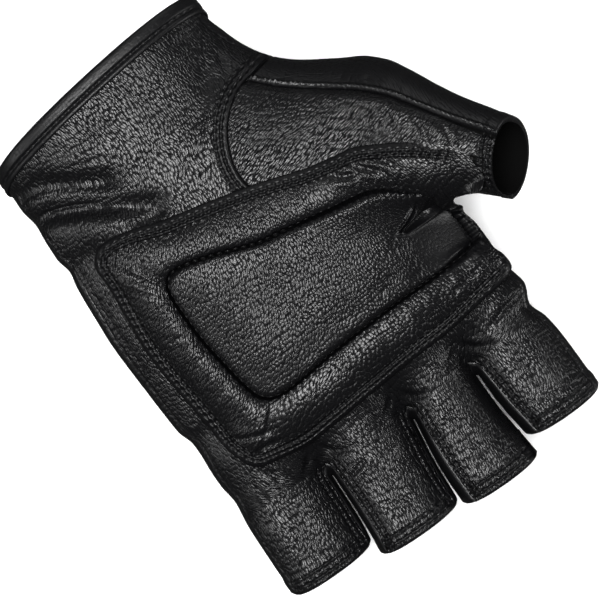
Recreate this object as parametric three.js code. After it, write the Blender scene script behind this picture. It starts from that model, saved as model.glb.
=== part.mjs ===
// Fingerless leather glove for the left hand, lying on its back with the palm up.
// Millimetres. +Y runs from the cuff to the fingertips, +X to the little finger, +Z up.
import * as THREE from 'three';

// Driving dimensions.
const PANEL = 1.5;              // thickness of the palm, back and thumb leather
const GUSSET = 1.3;             // thickness of the strips between the fingers
const BINDING = 1.2;            // thickness of the cuff binding
const BINDING_WIDTH = 6.0;      // how far the binding reaches over the panels
const PIECE_GAP = 0.34;         // gap between neighbouring pieces
const SHARPEST = 0.3;           // sine of the sharpest corner that keeps the full gap
const TRIM = PIECE_GAP / 2;     // a piece ends this far short of its seam
const GUSSET_TRIM = 0.24;       // the same for the strips between the fingers
const PAD_LIFT = 0.4;           // gap under the palm pad
const PAD_LIFT_SIDES = 0.6;     // added to it where the pad runs down a side
const PAD_EDGE = 1.3;           // thickness of the palm pad at its stitched edge
const CHANNEL = 1.2;            // thickness of the palm pad in its sunk channel
const PAD_HEIGHT = 4.2;         // thickness of the raised pad inside the channel
const CUFF_RAKE = 8.0;          // the back half of the cuff edge sits this much nearer the fingers
const TIP_RAKE = 4.5;           // the backs of the fingers are this much shorter than the faces
const SIDE_SEAM = 1.5;          // the palm and back meet this far inside the outline
const CUFF_SAG = 1.0;           // the cuff edge bows out this much between its corners
const CUFF_CORNER = 1.4;        // how squarely the rake starts at the cuff's corners
const CUFF_RADIAL = 28.3;       // cuff edge at the thumb side
const CUFF_ULNAR = 38.0;        // cuff edge at the little-finger side
const CROTCH_FRONT = 161.5;     // where the finger seams start, on the palm side
const CROTCH_BACK = 158.0;      // the same on the back
const MOUTH_TILT = 23.8;        // the thumb opening leans back by this angle, degrees
const MOUTH_AT = -1.6;          // thumb opening, along the thumb from its datum
const BINDING_FOLD = 0.7;       // how far the fold at the binding's edge is rounded back
const BINDING_STEP = 0.9;       // and where the rounding starts

// The plan tables are measured from a datum in the palm; this moves the finished
// glove so that its outline is centred on the origin.
const DATUM = new THREE.Vector3(35.24, -112.39, 0);

// Hand: along, thumb side, little-finger side, top, bottom
const HAND = [
  [20, -44.9, 28.4, 41.0, 2.6], [37, -45.3, 28.5, 41.0, 2.4], [44, -47.2, 29.4, 40.6, 2.2],
  [50, -48.6, 29.7, 40.0, 1.4], [60, -51.2, 28.9, 39.6, -0.6], [70, -56.0, 29.1, 40.2, -1.4],
  [75, -59.0, 28.2, 40.4, -1.6], [80, -61.0, 29.1, 40.4, -1.6], [92, -66.0, 30.0, 39.8, -1.6],
  [100, -68.4, 30.4, 39.2, -1.6], [115, -71.8, 29.9, 37.6, -1.6], [124, -73.2, 29.5, 36.6, -1.6],
  [130, -73.6, 29.1, 35.8, -1.6], [135, -73.9, 27.6, 35.2, -1.5], [143, -73.9, 27.0, 34.0, -1.2],
  [150, -73.6, 26.2, 31.5, -0.6], [156, -70.0, 22.5, 26.5, 1.5], [161, -66.0, 18.0, 20.5, 4.5],
  [166, -60.0, 12.0, 15.0, 7.5],
];
const HAND_POWER = 2.4;
const HAND_END = 163;

// Fingers: along, thumb side, little-finger side, top, bottom
const FINGERS = [
  { name: 'index', power: 2.3, tip: 189.7, rows: [
    [136, -70.5, -52.0, 27.0, 4.0], [146, -73.7, -50.8, 29.4, 1.6], [152, -75.9, -50.5, 29.4, 1.1],
    [157.5, -74.1, -50.5, 29.0, 0.9], [163, -75.9, -50.4, 28.5, 0.9], [170, -76.7, -50.5, 28.0, 1.2],
    [177, -76.9, -50.7, 27.8, 1.8], [184, -77.0, -51.5, 27.6, 2.4], [192, -77.1, -52.4, 27.6, 3.2]] },
  { name: 'middle', power: 2.3, tip: 195.4, rows: [
    [136, -48.0, -31.0, 27.0, 4.0], [146, -49.4, -29.5, 30.6, 1.6], [156, -49.8, -28.9, 30.8, 0.9],
    [165, -49.8, -28.4, 30.0, 1.0], [175, -49.9, -27.0, 29.6, 1.6], [183, -50.6, -26.2, 29.5, 2.4],
    [197, -51.9, -25.8, 29.6, 3.6]] },
  { name: 'ring', power: 2.3, tip: 193.6, rows: [
    [136, -26.0, -4.0, 27.0, 4.0], [146, -27.8, -1.6, 30.4, 1.6], [156, -28.4, -0.8, 30.6, 0.9],
    [165, -27.9, -0.2, 29.8, 1.0], [175, -26.5, 0.1, 29.3, 1.6], [183, -25.7, 0.6, 29.2, 2.4],
    [195, -25.2, 2.0, 29.2, 3.6]] },
  { name: 'little', power: 2.3, tip: 189.0, rows: [
    [136, 0.6, 22.5, 26.0, 4.0], [146, 0.4, 26.2, 28.6, 1.6], [156, 0.3, 27.2, 28.4, 0.9],
    [165, 0.3, 28.3, 27.4, 1.0], [175, 0.6, 28.6, 26.8, 1.6], [183, 1.1, 28.7, 26.4, 2.4],
    [191, 2.1, 28.7, 26.2, 3.2]] },
];
// Angles round each finger where its palm face starts (little-finger side) and ends (thumb
// side), and where its back starts and ends, degrees from the little-finger side
const FINGER_SEAMS = [
  { faceFrom: 42, faceTo: 148, backFrom: 148, backTo: 320 },
  { faceFrom: 42, faceTo: 172, backFrom: 215, backTo: 320 },
  { faceFrom: 35, faceTo: 155, backFrom: 215, backTo: 320 },
  { faceFrom: 29, faceTo: 155, backFrom: 215, backTo: 389 },
];
const FACE_COLUMNS = [6, 6, 6, 6];
const BACK_COLUMNS = [6, 4, 4, 6];
const FINGER_ROWS = [0, 0.12, 0.27, 0.45, 0.63, 0.82, 1];

// The webs between the fingers are drawn round this line inside the hand: y, height
const WEB_Y = 146;
const WEB_Z = 14;
const WEB_MIDDLE = 165;         // where the slot between two fingers starts, at a web's middle line
const SLOT_HALF = 0.3;          // half the slot's width
const WEB_REACH = 1.5;          // a finger's wall may lie this far outside its own tube
const GUSSET_STEPS = 4;

// Thumb, in its own frame: along from the datum of its opening, outer side, inner side
// (towards the fingers), top, bottom
const THUMB_DATUM = [-93.7, 122.0];
const THUMB_TURN = 48;          // the thumb points this far outwards from the fingers, degrees
const THUMB_POWER = 2.1;
const THUMB = [
  [-92, -19.0, 20.0, 34.0, 3.0], [-78, -20.0, 26.0, 37.5, 0.6], [-65, -21.4, 28.0, 39.0, 0.0],
  [-53, -23.4, 27.0, 40.8, 0.4], [-45, -24.9, 24.0, 42.2, 1.8], [-40, -24.6, 21.0, 43.4, 4.2],
  [-33, -22.4, 17.5, 44.8, 8.6], [-25, -19.1, 14.6, 46.4, 14.0], [-17, -16.3, 12.5, 48.0, 19.0],
  [-10, -14.5, 11.5, 49.4, 23.0], [0, -12.0, 11.5, 51.2, 26.4], [6, -11.4, 11.5, 52.2, 28.6],
];
const THUMB_START = -88;
const THUMB_RIDGE = 126;        // angle of the raised seam round the thumb, degrees
const THUMB_UNDER = -22;        // angle of the seam on the side towards the fingers
const THUMB_ROWS = 9;
const RIDGE_ROW = 12;           // the raised seam starts at this corner of the thumb base seam

// How softly the tubes run into each other
const BLEND_HAND = 6.0;
const BLEND_THUMB = 9.0;
const BLEND_FINGERS = [[150, 6.0], [158, 4.6], [164, 2.2], [171, 0.5], [176, 0.3]];

// Folds across the little-finger side of the wrist: depth, half-width, points along
const FOLDS = [
  { depth: 1.6, width: 3.2, points: [[5, 60], [12, 55.6], [20, 50.7], [27, 49.5]] },
  { depth: 1.6, width: 3.4, points: [[-2, 74], [8, 67.2], [15, 62.2], [22, 59], [28, 58.5]] },
];

const FOLD_LOW = 12;            // the folds start at this height and are full at the next
const FOLD_HIGH = 30;
const FOLD_END = 90;            // and there are none past here

// Rows of the hand at the cuff: distance from the cuff edge
const CUFF_ROWS = [1.5, 3.75, 6.3];
// Rows over the wrist: along at the thumb side, along at the little-finger side, how much of
// the cuff's rake the row takes
const WRIST_ROWS = [
  [41.0, 50.0, 0.75], [46.5, 54.5, 0.5], [52.0, 58.5, 0.25], [57.5, 62.0, 0],
];
// Thumb base seam, from the wrist to the thumb crotch: palm side x, y; under the hand either
// x, y or, where it climbs the side, height and y; along at the little-finger side of the row
const THUMB_SEAM = [
  { front: [-51.3, 58.0], side: [20.5, 57.9], ulnar: 63.5 },
  { front: [-48.5, 58.6], side: [14.5, 58.4], ulnar: 65.0 },
  { front: [-44.5, 59.3], side: [9.5, 59.3], ulnar: 66.7 },
  { front: [-39.5, 60.9], under: [-50.5, 61.5], ulnar: 69.0 },
  { front: [-34.0, 65.0], under: [-52.5, 66.5], ulnar: 73.0 },
  { front: [-30.0, 70.3], under: [-54.2, 72.5], ulnar: 77.5 },
  { front: [-27.4, 77.0], under: [-55.8, 79.0], ulnar: 83.0 },
  { front: [-27.6, 84.5], under: [-57.2, 86.0], ulnar: 89.0 },
  { front: [-33.5, 90.5], under: [-58.8, 93.0], ulnar: 95.0 },
  { front: [-42.5, 97.0], under: [-60.6, 100.0], ulnar: 101.0 },
  { front: [-52.5, 104.5], under: [-62.8, 106.5], ulnar: 107.0 },
  { front: [-61.5, 111.6], under: [-65.6, 112.2], ulnar: 112.5 },
  { front: [-67.5, 116.6], side: [9.0, 117.6], ulnar: 116.8 },
  { front: [-70.0, 119.6], side: [15.5, 120.4], ulnar: 119.6 },
];
const SIDE_START = -45;         // the side points are reached from this line inside the hand
// Rows over the palm, with the same columns
const PALM_ROWS = [
  [122.3, 122.7, 0], [128.0, 128.5, 0], [134.5, 135.0, 0], [141.0, 141.5, 0], [147.0, 147.5, 0],
  [152.0, 152.5, 0], [157.0, 157.2, 0],
];

// Palm pad: edge x, edge y, channel x, channel y, height of the puffy border between them
const PAD = [
  [-82.0, 109.4, -67.0, 113.6, 1.5], [-78.0, 105.5, -64.0, 111.0, 1.8], [-72.0, 100.5, -60.5, 107.8, 2.3],
  [-65.0, 96.0, -55.0, 104.6, 2.8], [-58.0, 92.4, -49.0, 103.4, 3.2], [-50.0, 90.8, -42.0, 102.3, 3.4],
  [-42.0, 89.0, -35.0, 101.1, 3.5], [-35.0, 86.6, -28.0, 100.0, 3.5], [-27.0, 84.2, -21.0, 98.9, 3.5],
  [-17.0, 81.7, -14.0, 96.5, 3.5], [-8.0, 79.6, -7.0, 94.0, 3.5], [0.0, 77.8, -1.0, 92.3, 3.5],
  [6.0, 75.5, 3.0, 91.7, 3.5], [11.5, 74.2, 5.5, 92.3, 3.5], [17.0, 74.2, 7.0, 94.0, 3.2],
  [20.5, 77.5, 7.8, 97.0, 3.2], [21.0, 85.0, 8.0, 101.0, 3.2], [22.0, 95.0, 8.0, 106.0, 3.2],
  [22.8, 105.5, 7.8, 112.0, 3.2], [22.5, 115.0, 7.1, 118.0, 3.2], [21.6, 124.5, 6.2, 124.5, 3.2],
  [20.6, 134.5, 5.0, 131.0, 3.2], [19.4, 144.5, 3.8, 134.6, 3.2], [16.5, 150.5, 1.5, 136.9, 3.2],
  [9.0, 152.6, -3.0, 137.7, 3.2], [0.0, 153.6, -9.0, 137.4, 3.2], [-10.0, 153.3, -17.0, 136.6, 3.2],
  [-20.0, 152.4, -25.0, 136.0, 3.2], [-30.0, 151.5, -34.0, 135.6, 3.2], [-40.0, 151.0, -43.0, 135.3, 3.2],
  [-50.0, 150.5, -52.0, 135.3, 3.2], [-59.0, 149.5, -59.5, 135.3, 3.2], [-65.5, 148.6, -64.0, 135.2, 3.1],
  [-69.2, 148.0, -66.4, 135.1, 3.0], [-71.6, 147.4, -68.0, 134.9, 2.8],
  [-71.8, 138.0, -69.8, 134.2, 2.2], [-71.6, 130.0, -70.4, 129.0, 2.2], [-71.0, 123.6, -69.8, 123.0, 2.0],
  [-73.0, 120.2, -69.2, 119.0, 1.5], [-78.0, 121.2, -68.8, 117.6, 1.4], [-82.2, 122.0, -68.4, 116.6, 1.4],
  [-83.0, 115.6, -68.0, 115.2, 1.4],
];
const PAD_SPINE = [[-52, 119], [-14, 115]];
// Rings from the edge to the channel, then from the channel towards the middle of the pad:
// share of the way, share of the border's height, thickness where it isn't the border's.
const BORDER_RINGS = [
  { at: 0, thickness: PAD_EDGE * 0.8 }, { at: 0.13, thickness: PAD_EDGE }, { at: 0.24, thickness: PAD_EDGE * 0.9 },
  { at: 0.55, border: 1 }, { at: 0.84, border: 0.78 }, { at: 1, thickness: CHANNEL },
];
const PAD_RINGS = [
  { at: 0.16, thickness: PAD_HEIGHT * 0.78 }, { at: 0.45, thickness: PAD_HEIGHT },
  { at: 0.86, thickness: PAD_HEIGHT },
];

// The oval inside the hand from which the hand's rows are drawn: height of its middle, half
// its height, how much of its width and height the lines start at; where the fingers start,
// the oval stays as wide as the knuckles.
const GUIDE_Z = 15;
const GUIDE_B = 17;
const GUIDE_WIDE = 0.68;
const GUIDE_HIGH = 0.3;
const GUIDE_THUMB_SIDE = { from: 148, x: -74 };
const GUIDE_LITTLE_SIDE = { from: 140, x: 27.5 };
const SEAM_LOWEST = -20;        // the side seam is looked for between these angles
const SEAM_HIGHEST = 60;
const CUFF_SEAM_AT = { radial: 40, ulnar: 46 };

// Where the walls are looked for: above and below the glove, furthest, step, halvings
const ABOVE = 75;
const BELOW = -15;
const FURTHEST = 90;
const STEP = 0.5;
const FINE_STEP = 0.1;
const HALVINGS = 30;
const PROBE = 0.05;             // spacing of the samples for a surface's direction

// Tables as smooth curves.

// Smooth curve through the rows of a table that never swings past a row.
function curveThrough(xs, ys) {
  const n = xs.length;
  const slope = [];
  for (let i = 0; i < n - 1; i++) slope.push((ys[i + 1] - ys[i]) / (xs[i + 1] - xs[i]));
  const tangent = [slope[0]];
  for (let i = 1; i < n - 1; i++) {
    const same = slope[i - 1] * slope[i] > 0;
    tangent.push(same ? (2 * slope[i - 1] * slope[i]) / (slope[i - 1] + slope[i]) : 0);
  }
  tangent.push(slope[n - 2]);
  return (x) => {
    if (x <= xs[0]) return ys[0];
    if (x >= xs[n - 1]) return ys[n - 1];
    let i = 0;
    while (x > xs[i + 1]) i++;
    const h = xs[i + 1] - xs[i];
    const t = (x - xs[i]) / h;
    const t2 = t * t;
    const t3 = t2 * t;
    return ys[i] * (2 * t3 - 3 * t2 + 1) + ys[i + 1] * (3 * t2 - 2 * t3)
      + h * (tangent[i] * (t3 - 2 * t2 + t) + tangent[i + 1] * (t3 - t2));
  };
}

// A tube from a table: along, one side, other side, top, bottom.
function tubeFrom(rows, power) {
  const along = rows.map((row) => row[0]);
  const column = (c) => curveThrough(along, rows.map((row) => row[c]));
  const [low, high, top, bottom] = [1, 2, 3, 4].map(column);
  return {
    power,
    section: (y) => {
      const [l, h, t, b] = [low(y), high(y), top(y), bottom(y)];
      return { cx: (l + h) / 2, cz: (t + b) / 2, a: (h - l) / 2, b: (t - b) / 2 };
    },
  };
}

const hand = tubeFrom(HAND, HAND_POWER);
const fingers = FINGERS.map((finger) => tubeFrom(finger.rows, finger.power));
const thumb = tubeFrom(THUMB, THUMB_POWER);
const fingerBlend = curveThrough(BLEND_FINGERS.map((row) => row[0]), BLEND_FINGERS.map((row) => row[1]));

// The outer surface.

const radians = (degrees) => (degrees * Math.PI) / 180;
const mix = (from, to, t) => from + (to - from) * t;

// Distance from the wall of a tube, below zero inside it.
function tubeDistance(tube, x, y, z) {
  const { cx, cz, a, b } = tube.section(y);
  const dx = Math.abs(x - cx) / a;
  const dz = Math.abs(z - cz) / b;
  const n = tube.power;
  const q = Math.pow(Math.pow(dx, n) + Math.pow(dz, n), 1 / n);
  if (q < 1e-3) return -Math.min(a, b);
  const gx = Math.pow(dx / q, n - 1) / a;
  const gz = Math.pow(dz / q, n - 1) / b;
  return (q - 1) / Math.hypot(gx, gz);
}

// Two surfaces joined with a soft fillet of the given size.
function softJoin(first, second, size) {
  const h = Math.max(size - Math.abs(first - second), 0) / size;
  return Math.min(first, second) - (h * h * size) / 4;
}

const turn = radians(THUMB_TURN);
const thumbAlong = [-Math.sin(turn), Math.cos(turn)];
const thumbAcross = [Math.cos(turn), Math.sin(turn)];

function toThumb(x, y) {
  const dx = x - THUMB_DATUM[0];
  const dy = y - THUMB_DATUM[1];
  return [dx * thumbAlong[0] + dy * thumbAlong[1], dx * thumbAcross[0] + dy * thumbAcross[1]];
}

function fromThumb(s, t) {
  return [THUMB_DATUM[0] + s * thumbAlong[0] + t * thumbAcross[0],
    THUMB_DATUM[1] + s * thumbAlong[1] + t * thumbAcross[1]];
}

function distanceToPath(points, x, y) {
  let best = Infinity;
  for (let i = 0; i < points.length - 1; i++) {
    const [ax, ay] = points[i];
    const [bx, by] = points[i + 1];
    const t = Math.min(Math.max(((x - ax) * (bx - ax) + (y - ay) * (by - ay))
      / ((bx - ax) ** 2 + (by - ay) ** 2), 0), 1);
    best = Math.min(best, Math.hypot(x - mix(ax, bx, t), y - mix(ay, by, t)));
  }
  return best;
}

// Midway between fingers k and k + 1.
function slotX(k, y) {
  const [left, right] = [fingers[k].section(y), fingers[k + 1].section(y)];
  return (left.cx + left.a + right.cx - right.a) / 2;
}

// Distance from the outer surface of the whole glove, below zero inside it.
function gloveDistance(x, y, z) {
  const blend = fingerBlend(y);
  let tips = Infinity;
  fingers.forEach((finger, i) => {
    const start = Math.max(FINGERS[i].rows[0][0] - y, 0);
    const d = tubeDistance(finger, x, y, z) + start;
    tips = i === 0 ? d : softJoin(tips, d, blend);
  });
  const palm = tubeDistance(hand, x, y, z) + Math.max(y - HAND_END, 0);
  let body = softJoin(palm, tips, BLEND_HAND);
  const [s, t] = toThumb(x, y);
  const thumbWall = tubeDistance(thumb, t, s, z) + Math.max(THUMB_START - s, 0);
  body = softJoin(body, thumbWall, BLEND_THUMB);
  const upper = THREE.MathUtils.smoothstep(z, FOLD_LOW, FOLD_HIGH);
  if (upper > 0 && y < FOLD_END) {
    FOLDS.forEach((fold) => {
      body += upper * fold.depth * Math.exp(-((distanceToPath(fold.points, x, y) / fold.width) ** 2));
    });
  }
  // Narrow slots keep neighbouring fingers apart past their webs.
  for (let k = 0; k < 3 && y > WEB_MIDDLE; k++) {
    body = Math.max(body, Math.min(SLOT_HALF - Math.abs(x - slotX(k, y)), y - WEB_MIDDLE));
  }
  return Math.max(body, -z);
}

function outwardAt(p) {
  return new THREE.Vector3(
    gloveDistance(p.x + PROBE, p.y, p.z) - gloveDistance(p.x - PROBE, p.y, p.z),
    gloveDistance(p.x, p.y + PROBE, p.z) - gloveDistance(p.x, p.y - PROBE, p.z),
    gloveDistance(p.x, p.y, p.z + PROBE) - gloveDistance(p.x, p.y, p.z - PROBE),
  ).normalize();
}

// Where a line leaves the glove: from a point inside it, along a direction.
function leaveAt(from, direction, step = STEP, limit = FURTHEST) {
  const at = (t) => gloveDistance(from.x + direction.x * t, from.y + direction.y * t, from.z + direction.z * t);
  let near = 0;
  let far = step;
  while (at(far) < 0 && far < limit) {
    near = far;
    far += step;
  }
  for (let i = 0; i < HALVINGS; i++) {
    const middle = (near + far) / 2;
    if (at(middle) < 0) near = middle; else far = middle;
  }
  return from.clone().addScaledVector(direction, near);
}

// The surface straight above (side 1) or below (side -1) a place in the plan.
function surfaceOver(x, y, side) {
  let outside = side > 0 ? ABOVE : BELOW;
  let inside = outside - side * STEP;
  while (gloveDistance(x, y, inside) > 0 && inside > BELOW && inside < ABOVE) {
    outside = inside;
    inside -= side * STEP;
  }
  for (let i = 0; i < HALVINGS; i++) {
    const middle = (outside + inside) / 2;
    if (gloveDistance(x, y, middle) > 0) outside = middle; else inside = middle;
  }
  return new THREE.Vector3(x, y, outside);
}

// The hand's own grid.

const guideLow = curveThrough(HAND.map((r) => r[0]), HAND.map(([along, side]) => (
  along > GUIDE_THUMB_SIDE.from ? Math.min(side, GUIDE_THUMB_SIDE.x) : side)));
const guideHigh = curveThrough(HAND.map((r) => r[0]), HAND.map(([along, , side]) => (
  along > GUIDE_LITTLE_SIDE.from ? Math.max(side, GUIDE_LITTLE_SIDE.x) : side)));

function handRay(angle, y) {
  const a = (guideHigh(y) - guideLow(y)) / 2;
  const cx = (guideHigh(y) + guideLow(y)) / 2;
  const from = new THREE.Vector3(cx + GUIDE_WIDE * a * Math.cos(angle), y, GUIDE_Z + GUIDE_HIGH * GUIDE_B * Math.sin(angle));
  const direction = new THREE.Vector3(Math.cos(angle) / Math.sqrt(a), 0, Math.sin(angle) / Math.sqrt(GUIDE_B)).normalize();
  return { from, direction };
}

function handPoint(angle, y) {
  const { from, direction } = handRay(angle, y);
  return leaveAt(from, direction);
}

// The angle whose line passes through a point of the surface; the back's angles run on
// below zero from the little-finger side.
function handAngle(p, face) {
  const side = (angle) => {
    const { from, direction } = handRay(angle, p.y);
    return (p.x - from.x) * direction.z - (p.z - from.z) * direction.x;
  };
  const centre = (guideHigh(p.y) + guideLow(p.y)) / 2;
  const a = (guideHigh(p.y) - guideLow(p.y)) / 2;
  const guess = Math.atan2((p.z - GUIDE_Z) / GUIDE_B, (p.x - centre) / a);
  let [low, high] = [guess - radians(50), guess + radians(50)];
  const start = side(low) > 0;
  for (let i = 0; i < HALVINGS; i++) {
    const middle = (low + high) / 2;
    if ((side(middle) > 0) === start) low = middle; else high = middle;
  }
  return !face && low > radians(90) ? low - 2 * Math.PI : low;
}

// Where the palm meets the back: a little inside the outline, on the palm side.
function sideSeam(y, sign) {
  const flat = sign > 0 ? 0 : Math.PI;
  let outline = -Infinity;
  let at = 0;
  for (let degrees = SEAM_LOWEST; degrees <= SEAM_HIGHEST; degrees += 2) {
    const angle = radians(degrees);
    const reach = handPoint(sign > 0 ? angle : flat - angle, y).x * sign;
    if (reach > outline) {
      outline = reach;
      at = angle;
    }
  }
  let [low, high] = [at, radians(SEAM_HIGHEST)];
  for (let i = 0; i < HALVINGS; i++) {
    const middle = (low + high) / 2;
    const reach = handPoint(sign > 0 ? middle : flat - middle, y).x * sign;
    if (reach > outline - SIDE_SEAM) low = middle; else high = middle;
  }
  return sign > 0 ? low : flat - low;
}

// Fingers.

function fingerPoint(k, angle, y) {
  const { cx, cz, a, b } = fingers[k].section(y);
  const direction = new THREE.Vector3(a * Math.cos(angle), 0, b * Math.sin(angle));
  const reach = direction.length() * Math.pow(Math.abs(Math.cos(angle)) ** fingers[k].power
    + Math.abs(Math.sin(angle)) ** fingers[k].power, -1 / fingers[k].power);
  return leaveAt(new THREE.Vector3(cx, y, cz), direction.normalize(), FINE_STEP, reach + WEB_REACH);
}

function fingerAngle(k, p) {
  const { cx, cz, a, b } = fingers[k].section(p.y);
  return Math.atan2((p.z - cz) / b, (p.x - cx) / a);
}

function fingerTip(k, angle) {
  const { cz, b } = fingers[k].section(FINGERS[k].tip);
  const height = fingerPoint(k, angle, FINGERS[k].tip).z;
  return FINGERS[k].tip - TIP_RAKE * (cz + b - height) / (2 * b);
}

// The web between fingers k and k + 1, from the palm side (w = 0) to the back (w = 1).
const webEnds = [0, 1, 2].map((k) => [
  surfaceOver(slotX(k, CROTCH_FRONT), CROTCH_FRONT, 1),
  surfaceOver(slotX(k, CROTCH_BACK), CROTCH_BACK, -1),
]);

function webPoint(k, w) {
  const [front, back] = webEnds[k];
  if (w === 0) return front.clone();
  if (w === 1) return back.clone();
  const angle = mix(Math.atan2(front.z - WEB_Z, front.y - WEB_Y), Math.atan2(back.z - WEB_Z, back.y - WEB_Y), w);
  const from = new THREE.Vector3(slotX(k, WEB_MIDDLE), WEB_Y, WEB_Z);
  return leaveAt(from, new THREE.Vector3(0, Math.cos(angle), Math.sin(angle)));
}

// Edge of a finger's wall: side 1 faces the little finger, side -1 the thumb; w runs from
// the palm-side seam (0) to the back seam (1); f from the web (0) to the tip (1).
function fingerWall(k, side, w, f) {
  const seams = FINGER_SEAMS[k];
  const web = webPoint(side > 0 ? k : k - 1, w);
  if (f === 0) return web;
  const wrap = (angle) => (side < 0 && angle < 0 ? angle + 2 * Math.PI : angle);
  const start = wrap(fingerAngle(k, web));
  const end = side > 0
    ? mix(radians(seams.faceFrom), radians(seams.backTo - 360), w)
    : mix(radians(seams.faceTo), radians(seams.backFrom), w);
  const angle = mix(start, end, Math.sqrt(f));
  return fingerPoint(k, angle, mix(web.y, fingerTip(k, end), f));
}

// The outer sides of the index and little fingers have one seam, palm to back.
function outerSeam(k, f) {
  const angle = radians(k === 0 ? FINGER_SEAMS[0].faceTo : FINGER_SEAMS[3].faceFrom);
  return fingerPoint(k, angle, mix(CROTCH_FRONT, fingerTip(k, angle), f));
}

// One row across a finger's palm face or back, from its little-finger side to its thumb side.
function fingerRow(k, face, f) {
  const seams = FINGER_SEAMS[k];
  const w = face ? 0 : 1;
  const first = k === 3 ? outerSeam(3, f) : fingerWall(k, 1, w, f);
  const last = k === 0 ? outerSeam(0, f) : fingerWall(k, -1, w, f);
  const columns = face ? FACE_COLUMNS[k] : BACK_COLUMNS[k];
  const positive = (angle) => (angle < 0 ? angle + 2 * Math.PI : angle);
  const from = fingerAngle(k, first);
  const to = positive(fingerAngle(k, last));
  const row = [first];
  for (let i = 1; i < columns; i++) {
    const t = i / columns;
    const angle = face ? mix(from, to, t) : mix(from, to - 2 * Math.PI, t);
    const tip = fingerTip(k, face
      ? mix(radians(seams.faceFrom), radians(seams.faceTo), t)
      : mix(radians(seams.backTo), radians(seams.backFrom), t));
    const start = mix(fingerRowStart(k, face, 0), fingerRowStart(k, face, 1), t);
    row.push(fingerPoint(k, angle, mix(start, tip, f)));
  }
  row.push(last);
  return row;
}

function fingerRowStart(k, face, end) {
  const outer = (k === 3 && end === 0) || (k === 0 && end === 1);
  return face || outer ? CROTCH_FRONT : CROTCH_BACK;
}

// Rows of the hand.

function cuffLine(angle, y) {
  const p = handPoint(angle, y);
  const { cx, cz, a, b } = hand.section(y);
  const t = THREE.MathUtils.clamp((p.x - (cx - a)) / (2 * a), 0, 1);
  const drop = THREE.MathUtils.clamp((cz + b - p.z) / (2 * b), 0, 1);
  return { edge: mix(CUFF_RADIAL, CUFF_ULNAR, t) - CUFF_SAG * Math.sin(Math.PI * t), rake: CUFF_RAKE * drop ** CUFF_CORNER };
}

// A point of the cuff, at a distance from its edge.
function cuffPoint(angle, distance) {
  let y = mix(CUFF_RADIAL, CUFF_ULNAR, 0.5);
  for (let i = 0; i < 4; i++) {
    const { edge, rake } = cuffLine(angle, y);
    y = edge + rake + distance;
  }
  return handPoint(angle, y);
}

// Side edges of every row, and where the row's own angles start and end.
const sideRows = [];
CUFF_ROWS.forEach((distance) => sideRows.push({ cuff: distance }));
WRIST_ROWS.forEach(([radial, ulnar, rake]) => sideRows.push({ radial, ulnar, rake }));
THUMB_SEAM.forEach(({ front, under, side, ulnar }) => sideRows.push({
  ulnar,
  rake: 0,
  front: surfaceOver(front[0], front[1], 1),
  back: under ? surfaceOver(under[0], under[1], -1)
    : leaveAt(new THREE.Vector3(SIDE_START, side[1], side[0]), new THREE.Vector3(-1, 0, 0)),
}));
PALM_ROWS.forEach(([radial, ulnar, rake]) => sideRows.push({ radial, ulnar, rake }));

// Angles of the columns come from the row where the fingers start.
function columnFractions(face) {
  const row = [];
  for (let k = 3; k >= 0; k--) {
    const points = fingerRow(k, face, 0);
    row.push(...(k === 3 ? points : points.slice(1)));
  }
  return { row, angles: row.map((p) => handAngle(p, face)) };
}

const SIDE_LOW = sideRows.map((r) => (r.cuff === undefined ? sideSeam(r.ulnar, 1) : null));
const CUFF_SEAM_ULNAR = sideSeam(CUFF_SEAM_AT.ulnar, 1);
const CUFF_SEAM_RADIAL = sideSeam(CUFF_SEAM_AT.radial, -1);

function handRow(index, face, fractions) {
  const r = sideRows[index];
  if (r.cuff !== undefined) {
    const to = face ? CUFF_SEAM_RADIAL : CUFF_SEAM_RADIAL - 2 * Math.PI;
    return fractions.map((t) => cuffPoint(mix(CUFF_SEAM_ULNAR, to, t), r.cuff));
  }
  const low = SIDE_LOW[index];
  const first = handPoint(low, r.ulnar);
  let last;
  let high;
  if (r.front) {
    last = face ? r.front : r.back;
    high = handAngle(last, face);
  } else {
    high = sideSeam(r.radial, -1);
    last = handPoint(high, r.radial);
    if (!face) high -= 2 * Math.PI;
  }
  return fractions.map((t, i) => {
    if (i === 0) return raked(first, low, r.ulnar, r.rake);
    if (i === fractions.length - 1) return r.front ? last.clone() : raked(last, high, r.radial, r.rake);
    const angle = mix(low, high, t);
    const y = mix(r.ulnar, r.front ? last.y : r.radial, t);
    return raked(handPoint(angle, y), angle, y, r.rake);
  });
}

function raked(p, angle, y, share) {
  if (share === 0) return p.clone();
  const { rake } = cuffLine(angle, y);
  return handPoint(angle, y + rake * share);
}

// Sheets of leather.

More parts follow.
